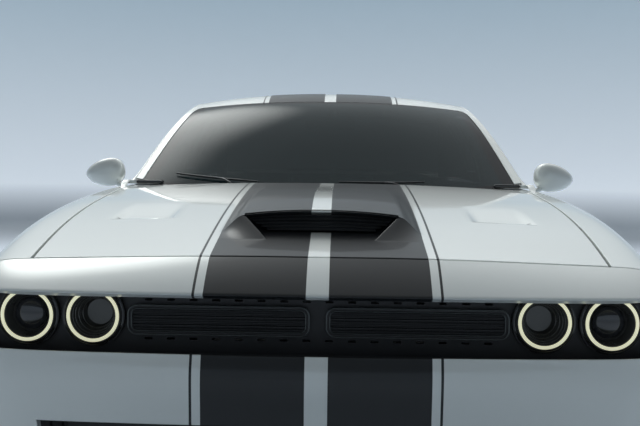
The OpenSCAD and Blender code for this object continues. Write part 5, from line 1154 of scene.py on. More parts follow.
class CAR_OT_hood(bpy.types.Operator):
    """Hood with its scoop, the two heat vents, the inner panel and the hinge arms"""
    bl_idname = "car.hood"
    bl_label = "Hood"

    def execute(self, context):
        form = form_of(context)
        s, scoop = form.s, Scoop(form)
        # The UV map carries painted shade for the scoop's hollow and painted shadow for the vents' fronts.
        grid, uv = hood_surface(form)
        panel("hood_panel", grid, "hood", "striped_hood", thick=0.010, uv=uv, replaces=("hood",))
        panel("hood_inner", hood_lining(form), "hood", "paint", thick=0.004)
        arms = Build()
        rear = form.at(HOOD_REAR_SHARES[1])
        hinge = np.array([s.hood_hinge_side, rear + s.hood_axis_behind,
                          float(form.top_at(s.hood_hinge_side, rear)) - s.hood_axis_below])
        for side in (-1, 1):
            at = hinge * np.array([side, 1, 1])
            for low, high in HOOD_ARM_BOXES:
                arms.closed(slab(at + low, at + high))
            arms.closed(spun(HOOD_SLEEVE, 32, at))
        arms.piece("hood_arms", "hood", "paint", "paint")
        slats = Build()
        o = rounded_outline(SLAT_HALF, SLAT_EDGE, 3)
        for h in mix(*SLAT_HEIGHT_SHARES, np.arange(5) / 4):
            width = mix(s.scoop_lip_half, s.scoop_half, MOUTH_SHARES[:, 2])
            x = float(np.interp(h, MOUTH_SHARES[:, 1], width) - 0.006) * np.linspace(-1, 1, 25)
            path = xyz(x, scoop.mouth + SLAT_DEPTH, form.top_at(x, scoop.mouth) + h * scoop.top(x))
            slats.closed(path[:, None] + xyz(0, o[:, 0], o[:, 1]))
        slats.piece("scoop_slats", "hood", "mesh", "black_plastic", ("scoop_grille",))
        return {"FINISHED"}


class CAR_OT_trunk(bpy.types.Operator):
    """Trunk lid and its spoiler"""
    bl_idname = "car.trunk"
    bl_label = "Trunk lid"

    def execute(self, context):
        form = form_of(context)

        def at(y, c):
            x = c * (form.edge_at(y) - form.s.panel_gap)
            return xyz(x, y, form.top_at(x, y))

        c = np.linspace(1, -1, 61)[None, :]
        end = form.tail_cut(c * form.W * LID_REAR_SHARE) - form.s.panel_gap
        grid = at(mix(form.lid_front(c), end, np.linspace(0, 1, 48)[:, None]), c)
        panel("trunk_panel", grid + SKIN_LIFT * normals_of(grid), "trunk", "striped", thick=0.012)
        c = np.linspace(-0.855, 0.855, 61)
        foot, head = (at(np.full(61, form.at(k)), c) for k in LIP_SHARES)
        lip = form.s.spoiler_lip * (1 - 0.4 * c * c)
        lower = [foot, mix(foot, head, 0.5), head + xyz(0, -0.002, 0)]
        back = [head + xyz(0, 0.001, lip * 0.5), head + xyz(0, 0.002, lip * 0.93)]
        upper = [mix(foot, head, k) + xyz(0, 0, 0.003 + (lip - 0.003) * k ** 2.2)
                 for k in (1.0, 0.93, 0.75, 0.5, 0.25, 0.06)]
        spoiler = Build()
        spoiler.closed(np.stack(lower + back + upper, 1) + xyz(0, 0, 0.0015))
        spoiler.piece("lip_spoiler", "trunk", "gloss", "black_plastic", ("rear_spoiler",), sharp=60.0)
        return {"FINISHED"}


class CAR_OT_trunk_lining(bpy.types.Operator):
    """Carpeted trunk sides: up the wheelhouse, round a soft edge, then out over it to the quarter panel"""
    bl_idname = "car.trunk_lining"
    bl_label = "Trunk lining"

    def execute(self, context):
        form = form_of(context)
        side, shelf, floor, edge = 0.588, 0.820, 0.480, 0.022
        y = np.linspace(*TRUNK_ALONG, 40)[:, None]
        out = form.side_at(y, np.full_like(y, shelf)) - 0.024
        a = np.linspace(np.pi / 2, np.pi, 8)
        x = np.concatenate([mix(out, side + edge, np.linspace(0, 1, 6)[None, :-1]),
                            np.broadcast_to(side + edge + edge * np.cos(a), (40, 8)), np.full((40, 5), side)],
                           1)
        z = np.concatenate([np.full(5, shelf), shelf - edge + edge * np.sin(a),
                            np.linspace(shelf - edge, floor, 6)[1:]])
        both_sides("trunk_lining", xyz(x, y, z), "carpet", thick=0.004, edge=0.0015, slot="cabin_plastic")
        return {"FINISHED"}


class CAR_OT_rear_cover(bpy.types.Operator):
    """Rear bumper cover with the lamp opening"""
    bl_idname = "car.rear_cover"
    bl_label = "Rear cover"

    def execute(self, context):
        grid, at = end_grid(form_of(context), False)
        mask = np.ones((grid.shape[0] - 1, grid.shape[1] - 1), bool)
        m, corner, wrap = at["middle"], at["corner"], at["wrap"]
        mask[:m - corner, wrap:] = False
        mask[m + corner:, wrap:] = False
        half, low = TAIL_OPENING
        mask[m - half:m + half, low:at["last"]] = False
        panel("rear_cover", grid, "body", "striped", thick=0.020, mask=mask, replaces=("rear_fascia",))
        return {"FINISHED"}


# Section of the rail beside the roof: shares of its width and of its height.
RAIL_SHARES = np.array([
    [0, 0], [0.30, 0.06], [0.55, 0.26], [0.80, 0.56], [0.97, 0.90], [0.98, 1.05], [0.86, 1.18], [0.62, 1.25],
    [0.25, 1.05], [0, 0.85], [0, 0.4]])
RAIL_WIDTH, RAIL_DROP, RAIL_FOOT_SHARE = 0.032, 0.044, 1.25


class CAR_OT_roof(bpy.types.Operator):
    """Roof panel, the rails beside it and the panel behind the rear glass"""
    bl_idname = "car.roof"
    bl_label = "Roof"

    def execute(self, context):
        form = form_of(context)
        start, head, tail, foot = (form.at(k) for k in GLASS_SHARES)
        c = np.linspace(1, -1, 61)[None, :]
        y = np.linspace(head + 0.002, tail - 0.002, 60)[:, None]
        panel("roof_panel", form.canopy(y, c), "body", "striped", thick=0.016, replaces=("roof",))
        front = form.canopy(np.full((1, 1), foot), c)[0] + xyz(0, 0.0006, 0)
        y = form.lid_front(c[0]) - form.s.panel_gap - 0.003
        rear = xyz(front[:, 0], y, form.top_at(front[:, 0], y))
        panel("deck_strip", mix(front[None], rear[None], np.linspace(0, 1, 12)[:, None, None]), "body",
              "striped",
              thick=0.008, replaces=("deck_panel",))
        y = np.concatenate([np.linspace(start, head, 50)[:-1],
                            np.linspace(head, form.at(DOOR_SHARES[1]) + form.s.panel_gap - 0.0003, 30)])
        lower = -rail_drop(form, y)[:, None] * RAIL_SHARES[:, 1]
        rail = form.canopy_edge(y)[:, None] + xyz(RAIL_WIDTH * RAIL_SHARES[:, 0], 0, lower)
        verts = np.concatenate([(rail * flip).reshape(-1, 3) for _, flip in SIDES])
        half = rail.shape[0] * rail.shape[1]
        faces = [quads(*rail.shape[:2], first, first > 0, round_cols=True) for first in (0, half)]
        new_piece("roof_rails", verts, faces, "body", "paint", replaces=("side_rails",))
        return {"FINISHED"}


# Ends of the cowl beside the windscreen's lower corner: corners of boxes from that corner, in metres.
FOOT_BOX = ((-0.030, -0.1022, -0.0135), (0.010, -0.0575, 0.0022))
COWL_BOX = ((-0.136, -0.1022, -0.0135), (-0.029, -0.0575, 0.0018))


class CAR_OT_pillar_feet(bpy.types.Operator):
    """Painted roots that run from the fenders up to the windscreen pillars, and the black ends of the cowl"""
    bl_idname = "car.pillar_feet"
    bl_label = "Pillar feet"

    def execute(self, context):
        form = form_of(context)
        feet, ends = Build(), Build()
        corner = np.array(form.canopy_edge(form.at(GLASS_SHARES[0])))
        t, c = np.linspace(0, 1, 26)[:, None], circle(24)
        x, z = (np.sign(c[:, k]) * np.abs(c[:, k]) ** 0.6 for k in (0, 1))
        high = corner[2] + mix(-0.028, 0.0032, ease(t / 0.42))
        low = np.minimum(high - 0.0035, corner[2] - 0.0135)
        root = xyz(corner[0] + 0.0125 + 0.0135 * mix(0.35, 1.0, ease(t / 0.2)) * x,
                   corner[1] + mix(-0.187, 0.002, t), mix(low, high, 0.5 + 0.5 * z))
        for _, flip in SIDES:
            feet.closed(root * flip)
            feet.closed((slab(*FOOT_BOX, 0.004) + corner) * flip)
            ends.closed((slab(*COWL_BOX, 0.004) + corner) * flip)
        feet.piece("pillar_feet", "body", "paint", "paint")
        ends.piece("cowl_ends", "body", "gloss", "black_plastic")
        return {"FINISHED"}


# Lamp sections as radius and distance ahead of the grille panel, in metres for a lamp of full size.
PROJECTOR_BOWL = np.array([
    [0.0405, -0.0130], [0.0425, -0.0045], [0.0440, -0.0025], [0.0455, -0.0045], [0.0465, -0.0100],
    [0.0480, -0.0105],
    [0.0488, -0.0050], [0.0510, 0.0000], [0.0515, 0.0045], [0.0535, 0.0100], [0.0545, 0.0160],
    [0.0558, 0.0225]])
TUNNEL_BOWL = np.array([
    [0.0005, -0.0500], [0.0330, -0.0500], [0.0345, -0.0480], [0.0385, -0.0280], [0.0400, -0.0270],
    [0.0440, -0.0090],
    [0.0455, -0.0080], [0.0490, 0.0040], [0.0503, 0.0048], [0.0530, 0.0140], [0.0543, 0.0148],
    [0.0558, 0.0225]])
LAMP_SHELL = np.array([[0.0570, 0.0240], [0.0682, 0.0240], [0.0690, 0.0225], [0.0690, -0.0600],
                       [0.0680, -0.0610], [0.0005, -0.0610]])
BEZEL_LOOP = np.array([[0.0702, -0.0030], [0.0702, 0.0150], [0.0715, 0.0185], [0.0740, 0.0200],
                       [0.0775, 0.0185],
                       [0.0797, 0.0140], [0.0800, -0.0030]])
HALO_HALF, HALO_PLACE = np.array([0.0044, 0.0040]), np.array([0.0626, 0.0245])
LENS_RADIUS, LENS_BULGE, LENS_FOOT = 0.0408, 0.017, -0.012
# Outlines of the grille frames: inset, distance ahead of the grille panel, and radius.
GRILLE_OUTLINES = ((0.001, 0.0155, 0.0021), (0.0095, 0.0135, 0.0015))
GRILLE_CORNER = 0.024


class CAR_OT_lamps(bpy.types.Operator):
    """Four round headlamps: black bezels, glowing rings, stepped bowls and projector lenses"""
    bl_idname = "car.lamps"
    bl_label = "Headlamps"

    def execute(self, context):
        form = form_of(context)
        s = form.s
        bowls, lenses, halos, bezels = Build(), Build(), Build(), Build()
        ring = circle(14) * HALO_HALF + HALO_PLACE
        dome = np.linspace(0.0, 1.0, 12) * np.pi / 2
        lens = np.stack([LENS_RADIUS * np.cos(dome) + 0.0003, LENS_FOOT + LENS_BULGE * np.sin(dome)], -1)
        lens = np.concatenate([[[LENS_RADIUS + 0.0003, LENS_FOOT - 0.006]], lens])
        for x, outer in ((-s.lamp_outer, True), (-s.lamp_inner, False), (s.lamp_inner, False),
                         (s.lamp_outer, True)):
            at = (x, form.nose + s.grille_setback, s.lamp_height)
            inside = np.concatenate([[[0.0005, -0.0130]], PROJECTOR_BOWL]) if outer else TUNNEL_BOWL
            bowls.closed(spun(np.concatenate([inside, LAMP_SHELL]), 64, at, "y"))
            halos.ring(spun(ring, 72, at, "y"))
            bezels.ring(spun(BEZEL_LOOP, 64, at, "y"))
            if outer:
                lenses.closed(spun(lens, 48, at, "y"))
        bowls.piece("lamp_bowls", "body", "bowl", "lamp", ("headlamps",))
        halos.piece("lamp_rings", "body", "halo", "lamp")
        bezels.piece("lamp_bezels", "body", "gloss", "black_plastic")
        lenses.piece("lamp_lenses", "body", "lens", "lamp")
        return {"FINISHED"}


class CAR_OT_grille(bpy.types.Operator):
    """Grille: two rounded frames with a double outline and fine slats between them"""
    bl_idname = "car.grille"
    bl_label = "Grille"

    def execute(self, context):
        form = form_of(context)
        s = form.s
        frames, slats = Build(), Build()
        half, corner = np.array([s.frame_half_width, s.frame_half_height]), GRILLE_CORNER
        for side in (-1, 1):
            middle = np.array([side * s.frame_place, form.nose + s.grille_setback, s.frame_height])
            for inset, ahead, radius in GRILLE_OUTLINES:
                o = rounded_outline(half - inset, corner - inset, 10)
                frames.ring(loop_tube(middle + xyz(o[:, 0], -ahead, o[:, 1]), radius))
            for h in np.linspace(-half[1] + 0.011, half[1] - 0.011, 13):
                over = max(abs(h) - (half[1] - corner), 0.0)
                w = half[0] - 0.010 - corner + math.sqrt(corner ** 2 - over ** 2)
                slats.closed(slab(middle + [-w, -0.0105, h - 0.0007], middle + [w, -0.0085, h + 0.0007],
                                  0.0004))
            h = half[1] - 0.010
            for x in np.linspace(-0.20, 0.20, 26):
                slats.closed(slab(middle + [x - 0.0006, -0.0088, -h], middle + [x + 0.0006, -0.0082, h],
                                  0.0003))
        frames.piece("grille_frames", "body", "satin", "black_plastic")
        slats.piece("grille_slats", "body", "mesh", "black_plastic")
        return {"FINISHED"}


MIRROR_OUTLINE_SHARES = np.array([
    [1, -0.06], [0.86, -0.44], [0.53, -0.79], [-0.08, -0.97], [-0.6, -0.92], [-0.89, -0.56],
    [-1, -0.15], [-1, 0.26], [-0.84, 0.88], [-0.32, 1], [0.29, 0.79], [0.76, 0.38]])
MIRROR_HALF = np.array([0.086, 0.062, 0.068])
# Rows of the mirrors as shares of their depth and outline, and the foot's places out and up in metres.
MIRROR_RIM = np.array([[0.975, 0.905], [0.985, 0.870], [0.955, 0.850]])
MIRROR_GLASS = np.array([[0.950, 0.835], [0.967, 0.835], [0.970, 0.820]])
MIRROR_FOOT = np.array([[0.880, 0.936], [0.905, 0.948], [0.930, 0.958], [0.965, 0.975]])
INNER_MIRROR_ROWS = np.array([[0.000, 0.60], [-0.012, 0.90], [-0.022, 1.0], [-0.030, 1.0], [-0.032, 0.95]])
INNER_MIRROR_PLACE = np.array([0.0, -0.150, 1.262])
INNER_MIRROR_STALK = np.array([[0, -0.172, 1.275], [0, -0.186, 1.298], [0, -0.184, 1.325]])
PULL_ALONG, PULL_HEIGHT, PULL_HALF, PULL_RADIUS = -0.49, 0.745, 0.06, 0.006
GRIP_OUT, GRIP_HOLLOW, GRIP_HALF, GRIP_RADIUS = 0.0335, 0.030, 0.092, 0.0105
# Forms of the door card: ends along the car and soft width, ends in height and soft width, depth inwards.
ARM_REST = ((-0.46, 0.20, 0.10), (0.600, 0.690, 0.030), 0.052)
DOOR_POCKET = ((-0.66, 0.26, 0.06), (0.330, 0.455, 0.028), 0.022)
# Trim beside the windscreen: its inner edge as a share of the width, and the turn at its upper end.
TRIM_SHARE, TRIM_TURN_SHARE, TRIM_TURN, TRIM_END = 0.962, 0.050, 0.070, 0.004


class CAR_OT_mirrors(bpy.types.Operator):
    """Door mirrors: teardrop housings on a foot, with the glass behind"""
    bl_idname = "car.mirrors"
    bl_label = "Mirrors"

    def execute(self, context):
        form = form_of(context)
        s = form.s
        place = np.array([s.mirror_side, form.nose + s.mirror_along, s.mirror_height])
        q = np.concatenate([MIRROR_OUTLINE_SHARES, MIRROR_OUTLINE_SHARES[:3]])
        k = np.linspace(0, len(MIRROR_OUTLINE_SHARES), 60, endpoint=False)
        i = np.floor(k).astype(int)
        outline = cubic(q[i], q[i + 1], q[i + 2], q[i + 3], (k - i)[:, None])

        def at(rows):
            around = outline[None] * rows[:, 1:, None]
            return place + xyz(around[..., 0], rows[:, :1], around[..., 1]) * MIRROR_HALF

        u = np.concatenate([-np.cos(np.linspace(0.06, 1, 18) * np.pi / 2), np.linspace(0.12, 0.94, 8)])
        r = np.where(u < 0, (1 - np.abs(u) ** 2.6) ** 0.46, 1 - 0.075 * u ** 2)
        rings = np.concatenate([np.stack([u, r], -1), MIRROR_RIM])
        o = rounded_outline((0.024, 0.011), 0.0105, 6)
        foot = xyz(MIRROR_FOOT[:, :1], place[1] + o[:, 0], MIRROR_FOOT[:, 1:] + o[:, 1])
        for side, flip in SIDES:
            shell, glass = Build(), Build()
            shell.closed(at(rings) * flip)
            shell.closed(foot * flip)
            shell.piece(f"mirror_shell_{side}", f"{side}_door", "paint", "paint", (f"mirror_{side}",))
            glass.closed(at(MIRROR_GLASS) * flip)
            glass.piece(f"mirror_glass_{side}", f"{side}_door", "chrome", "glass")
        return {"FINISHED"}


def pane(name, grid, body, replaces=()):
    """A glass sheet whose UV map runs over the grid's rows and columns."""
    uv = np.stack(np.meshgrid(*(np.linspace(0, 1, k) for k in grid.shape[:2]), indexing="ij"), -1)
    panel(name, grid, body, "screen", thick=0.0045, edge=0.001, uv=uv, slot="glass", replaces=replaces)


class CAR_OT_glass(bpy.types.Operator):
    """Windscreen, rear glass, door glass, quarter lights and the inner mirror"""
    bl_idname = "car.glass"
    bl_label = "Glass"

    def execute(self, context):
        form = form_of(context)
        gap = form.s.panel_gap
        foot, head, tail, end = (form.at(k) for k in GLASS_SHARES)
        y = np.linspace(foot + 0.012, head - TRIM_END, 44)[:, None]
        turn = np.clip((y - head + TRIM_END + TRIM_TURN) / TRIM_TURN, 0.0, 1.0)
        edge = TRIM_SHARE - TRIM_TURN_SHARE * (1.0 - np.sqrt(1.0 - turn ** 2))
        strip = form.canopy(y, mix(1.0, edge, np.linspace(0, 1, 6)[None, :]))
        both_sides("pillar_trim", strip + 0.003 * normals_of(strip), "paint", thick=0.003, edge=0.001)
        c = np.linspace(1, -1, 61)[None, :]
        for name, first, last, nodes in (("windscreen_pane", foot, head, "windscreen"),
                                         ("rear_pane", tail, end, "rear_glass")):
            pane(name, form.canopy(np.linspace(first, last, 50)[:, None], c), "body", (nodes,))
        y = np.linspace(form.at(PANE_SHARE), form.at(DOOR_SHARES[1]) - gap, 40)
        h = np.linspace(0, 1, 24)[None, :, None]
        low = form.edge_point(y) + xyz(-0.005, 0, -0.001)
        high = form.canopy_edge(y) + xyz(0.020, 0, -RAIL_FOOT_SHARE * rail_drop(form, y) - gap - 0.002)
        bow = form.s.side_bulge * 3 * h * (1 - h)
        door = mix(low[:, None], high[:, None], h) + xyz(bow[..., 0], 0, 0)
        y = np.linspace(form.at(WINDOW_SHARES[0]) + 0.001, form.at(WINDOW_SHARES[1]) - 0.001, 24)[:, None]
        light = side_point(form, y, np.linspace(0.134, 0.876, 18)[None, :])
        light = light - 0.005 * normals_of(light)
        pane("door_pane_left", door, "left_door", ("door_glass_left",))
        pane("quarter_pane_left", light, "body", ("quarter_glass",))
        pane("door_pane_right", mirrored(door), "right_door", ("door_glass_right",))
        pane("quarter_pane_right", mirrored(light), "body")
        inner = Build()
        o = rounded_outline((0.120, 0.030), 0.026, 8)
        depth, share = INNER_MIRROR_ROWS[:, :1], INNER_MIRROR_ROWS[:, 1:]
        inner.closed(xyz(o[:, 0] * share, -depth - 0.03, o[:, 1] * share) + INNER_MIRROR_PLACE)
        inner.closed(tube(INNER_MIRROR_STALK, 0.009))
        inner.piece("inner_mirror", "body", "cabin", "cabin_plastic")
        return {"FINISHED"}


def window(v, low, high, soft):
    """1 between two values and 0 outside, eased over a soft width within them."""
    return ease((v - low) / soft) * ease((high - v) / soft)


def rail_drop(form, y):
    """Height of the rail beside the roof, less where the glass runs out at its foot."""
    free = form.canopy_edge(y)[:, 2] - form.edge_point(y)[:, 2] - form.s.panel_gap - 0.002
    return np.minimum(RAIL_DROP, free / RAIL_FOOT_SHARE)


class CAR_OT_doors(bpy.types.Operator):
    """Door skins, belt seals, grips and inner trim"""
    bl_idname = "car.doors"
    bl_label = "Doors"

    def execute(self, context):
        form = form_of(context)
        s, skin = form.s, door_surface(form)
        both_sides("door_panel", skin + SKIN_LIFT * normals_of(skin), "paint", door=True, thick=0.010,
                   edge=0.003)
        card = skin[6:-4, 3:-3]
        y, z = card[..., 1], card[..., 2]
        swell = sum(depth * window(y, *along) * window(z, *up) for along, up,
                    depth in (ARM_REST, DOOR_POCKET))
        card = card - xyz(DOOR_DEPTH + swell, 0, 0)
        both_sides("door_card", card[::-1], "cabin", door=True, thick=0.006, edge=0.002, slot="cabin_plastic")
        y = np.linspace(form.at(PANE_SHARE) + 0.02, form.at(DOOR_SHARES[1]) - 0.004, 50)
        o = rounded_outline((0.006, 0.0028), 0.0025, 4)
        belt = (form.edge_point(y) + xyz(-0.001, 0, 0.0005))[:, None] + xyz(o[:, 0], 0, o[:, 1])
        middle, u = form.nose + s.handle_along, np.linspace(-1, 1, 24)
        bow = float(form.side_at(middle, s.handle_height)) + GRIP_OUT - GRIP_HOLLOW * np.abs(u) ** 6
        grip = tube(xyz(bow, middle + GRIP_HALF * u, s.handle_height), GRIP_RADIUS, 14, tall=1.15)
        u = np.linspace(-1, 1, 14)
        bow = float(form.side_at(PULL_ALONG, PULL_HEIGHT)) - DOOR_DEPTH - 0.014 + 0.012 * u ** 4
        pull = tube(xyz(bow, PULL_ALONG + PULL_HALF * u, PULL_HEIGHT), PULL_RADIUS, 12, tall=1.7)
        for name, rings, finish, slot in (("belt_seal", belt, "seal", "black_plastic"),
                                          ("door_grip", grip, "paint", "paint"),
                                          ("inner_pull", pull, "satin", "steel")):
            for side, flip in SIDES:
                made = Build()
                made.closed(rings * flip)
                made.piece(f"{name}_{side}", f"{side}_door", finish, slot)
        return {"FINISHED"}


class CAR_OT_tail_lamps(bpy.types.Operator):
    """Tail lamp lens across the rear with a dark middle"""
    bl_idname = "car.tail_lamps"
    bl_label = "Tail lamps"

    def execute(self, context):
        form = form_of(context)
        corner = meeting(lambda a, r: tail_point(form, a, r), TAIL_WRAP, form.tail_cut, -1)
        a = np.linspace(0, CORNER_SHARE * corner * 0.985, 60)
        low, high = TAIL_ROW_SHARES[-2][0] * form.H, TAIL_ROW_SHARES[-1][0] * form.H
        outline = tail_point(form, a, len(TAIL_ROW_SHARES) - 2)
        outline[:, 0] *= 1 - 0.015 * np.linspace(0, 1, 60)
        half = np.concatenate([outline[::-1], (outline * np.array([-1, 1, 1]))[1:]])
        v = np.linspace(0, 1, 18)
        bulge = 0.006 * (1 - np.abs(2 * v - 1) ** 4) - 0.012
        grid = xyz(half[:, :1], half[:, 1:2] + bulge, mix(low + 0.005, high - 0.005, v))
        uv = np.stack(np.meshgrid(np.linspace(0, 1, len(half)), v, indexing="ij"), -1)
        panel("tail_lens", grid, "body", "tail_lens", thick=0.05, edge=0.003, uv=uv, slot="red_lens",
              replaces=("tail_lamps",))
        box, front = Build(), form.tail - TAIL_BOX_AHEAD
        box.closed(slab((-TAIL_BOX_HALF, front, low - TAIL_BOX_MARGIN),
                        (TAIL_BOX_HALF, front + TAIL_BOX_DEPTH, high + TAIL_BOX_MARGIN)))
        box.piece("tail_lamp_box", "body", "plastic", "black_plastic")
        return {"FINISHED"}


# Wheel sections as radius and distance outwards from the wheel's middle, in metres for a wheel of full size.
TYRE_SHARES = np.array([
    [0, 0.733], [0.128, 0.861], [0.19, 0.906], [0.289, 0.972], [0.38, 0.990], [0.40, 0.999], [0.44, 0.999],
    [0.46, 0.990],
    [0.58, 0.986], [0.70, 0.968], [0.80, 0.925], [0.885, 0.855], [0.945, 0.770], [0.978, 0.68], [1, 0.560]])
LINER_SHARES = np.array([[0.76, 0.788], [0.109, 0.584]])
GROOVE_SHARES = (0.45, 0.15, -0.15, -0.45)
RIM_LOOP = np.array([
    [0.2680, 0.1135], [0.2668, 0.1158], [0.2640, 0.1165], [0.2570, 0.1150], [0.2515, 0.1105],
    [0.2485, 0.1030],
    [0.2470, 0.0900], [0.2420, 0.0600], [0.2385, 0.0200], [0.2385, -0.0900], [0.2420, -0.1165],
    [0.2640, -0.1165],
    [0.2680, -0.1140], [0.2680, -0.1070], [0.2540, -0.0930], [0.2490, -0.0500], [0.2490, 0.0500],
    [0.2540, 0.0930],
    [0.2680, 0.1070]])
HUB_LOOP = np.array([
    [0.0385, -0.0300], [0.0775, -0.0300], [0.0780, 0.0600], [0.0768, 0.0800], [0.0720, 0.0895],
    [0.0640, 0.0935],
    [0.0480, 0.0945], [0.0400, 0.0930], [0.0385, 0.0900]])
DISC_LOOP = np.array([
    [0.0785, -0.0575], [0.1715, -0.0580], [0.1725, -0.0570], [0.1725, -0.0490], [0.1620, -0.0480],
    [0.1620, -0.0400],
    [0.1725, -0.0390], [0.1725, -0.0310], [0.1715, -0.0300], [0.0785, -0.0305]])
CAP_PROFILE = np.array([[0.0005, 0.0245], [0.0375, 0.0245], [0.0375, 0.0930], [0.0350, 0.0985],
                        [0.0220, 0.1020], [0.0005, 0.1035]])
NUT_PROFILE = np.array([[0.0095, 0.0820], [0.0095, 0.0985], [0.0070, 0.1015], [0.0005, 0.1020]])
NUT_CIRCLE = 0.0575
TYRE_STEPS = 288
SPOKE_SHARES = np.linspace(0, 1, 12)


def tyre_loops(s):
    """Tyre about X: side walls, shoulders and tread with four grooves. Every fourth step of the turn cuts the
    shoulder blocks, and every eighth a notch into the ribs."""
    half, bead, outer = s.tyre_width / 2, s.rim_diameter / 2, s.tyre_diameter / 2
    wall = np.stack([mix(bead, outer, TYRE_SHARES[:, 0]), half * TYRE_SHARES[:, 1]], -1)
    deep, wide, block, notch = 0.007, 0.004, 0.0045, 0.003
    tread = np.array([[outer - d, half * g + w] for g in GROOVE_SHARES
                      for d, w in ((0, wide), (deep, wide * 0.85), (deep, -wide * 0.85), (0, -wide))])
    liner = np.stack([mix(bead, outer, LINER_SHARES[:, 0]), half * LINER_SHARES[:, 1]], -1)
    turn = np.array([1.0, -1.0])
    profile = np.concatenate([wall, tread, wall[::-1] * turn, liner[::-1] * turn, liner])
    rings = spun(profile, TYRE_STEPS, (0, 0, 0))
    r, x = profile[:, :1], np.abs(profile[:, 1:]) / half
    step = np.arange(TYRE_STEPS)[None, :]
    outside = r > mix(bead, outer, 0.93)
    cut = (np.where(outside & (x > 0.50), block * (step % 4 == 0), 0.0)
           + np.where(outside & (x < 0.50), notch * (step % 8 == 3), 0.0))
    shrink = ((r - cut) / r)[..., None]
    return rings * xyz(1.0, shrink[..., 0], shrink[..., 0])


def spoke_rings(angle, side):
    """One blade of a twin spoke from hub to rim: bowed in by u(1 - u), narrower and thinner outwards."""
    u = SPOKE_SHARES[:, None]
    r = mix(0.066, 0.2475, u)
    middle = side * mix(0.019, 0.041, u)
    wide, front = mix(0.0165, 0.0135, u), 0.0925 - 0.040 * u * (1 - u) + 0.006 * u * u
    back = front - mix(0.044, 0.026, u)
    across = np.concatenate([-0.75 * wide, -wide, -wide, -0.72 * wide, 0.72 * wide, wide, wide, 0.75 * wide],
                            1) + middle
    out = np.concatenate([back, back + 0.006, front - 0.0045, front, front, front - 0.0045, back + 0.006,
                          back], 1)
    c, n = math.cos(angle), math.sin(angle)
    return np.stack([out, r * c - across * n, r * n + across * c], -1)


class CAR_OT_wheels(bpy.types.Operator):
    """Four wheels: tyre, rim with five twin spokes, hub, cap, nuts and brake disc"""
    bl_idname = "car.wheels"
    bl_label = "Wheels"

    def execute(self, context):
        form = form_of(context)
        tyre, origin = tyre_loops(form.s), (0, 0, 0)
        fifths = np.pi / 2 + np.arange(5) * 2 * np.pi / 5
        for end, axle in (("front", form.front_axle), ("rear", form.rear_axle)):
            for side, flip in SIDES:
                name, body = f"{end}_{side}", f"wheel_{end}_{side}"
                place = np.array([form.s.wheel_side, axle, form.axle_z]) * flip
                rubber, rim, caps, disc = Build(), Build(), Build(), Build()
                rubber.ring(tyre * flip + place)
                for loop in (RIM_LOOP, HUB_LOOP):
                    rim.ring(spun(loop, 96, origin) * flip + place)
                for a in fifths:
                    for edge in (-1, 1):
                        rim.closed(spoke_rings(a, edge) * flip + place)
                    b = a + np.pi / 5
                    nut = (0, NUT_CIRCLE * math.cos(b), NUT_CIRCLE * math.sin(b))
                    caps.closed(spun(NUT_PROFILE, 6, nut) * flip + place)
                caps.closed(spun(CAP_PROFILE, 48, origin) * flip + place)
                disc.ring(spun(DISC_LOOP, 96, origin) * flip + place)
                rubber.piece(f"tread_{name}", body, "rubber", "tyre", (f"tyre_{name}",), sharp=50.0)
                rim.piece(f"spokes_{name}", body, "dark_alloy", "alloy", (f"rim_{name}",))
                caps.piece(f"hub_cap_{name}", body, "alloy", "alloy")
                disc.piece(f"brake_disc_{name}", body, "disc", "steel")
        return {"FINISHED"}


# Cushion outlines from the side, as places along the car and heights, in metres from the seat's own place.
CUSHION_OUTLINE = np.array([[-0.512, 0.405], [-0.518, 0.465], [-0.480, 0.505], [-0.340, 0.503],
                            [-0.040, 0.472],
                            [0.028, 0.450], [0.042, 0.400], [0.000, 0.377], [-0.340, 0.392]])
BACK_OUTLINE = np.array([[0.030, 0.490], [0.055, 0.405], [0.118, 0.390], [0.160, 0.440], [0.352, 0.845],
                         [0.350, 0.880],
                         [0.318, 0.888], [0.255, 0.872], [0.225, 0.850]])
REST_OUTLINE = np.array([[0.278, 0.930], [0.296, 1.000], [0.335, 1.022], [0.372, 1.004], [0.378, 0.930],
                         [0.360, 0.904], [0.300, 0.902]])
BENCH_CUSHION_OUTLINE = np.array([[0.375, 0.445], [0.372, 0.505], [0.400, 0.535], [0.650, 0.508],
                                  [0.690, 0.495], [0.705, 0.450], [0.640, 0.440]])
BENCH_BACK_OUTLINE = np.array([[0.690, 0.520], [0.712, 0.455], [0.760, 0.470], [0.940, 0.870], [0.945, 0.910],
                               [0.915, 0.915], [0.850, 0.905]])
REST_HALF = 0.125
CLOTH_FRAMES = 20
# Pan and two runners of a front seat: corners from the seat's place and eased edge, in metres.
SEAT_FRAME_BOXES = (((-0.155, -0.40, 0.245), (0.155, 0.08, 0.395), 0.02),
                    ((-0.170, -0.46, 0.226), (-0.140, 0.09, 0.262), 0.004),
                    ((0.140, -0.46, 0.226), (0.170, 0.09, 0.262), 0.004))


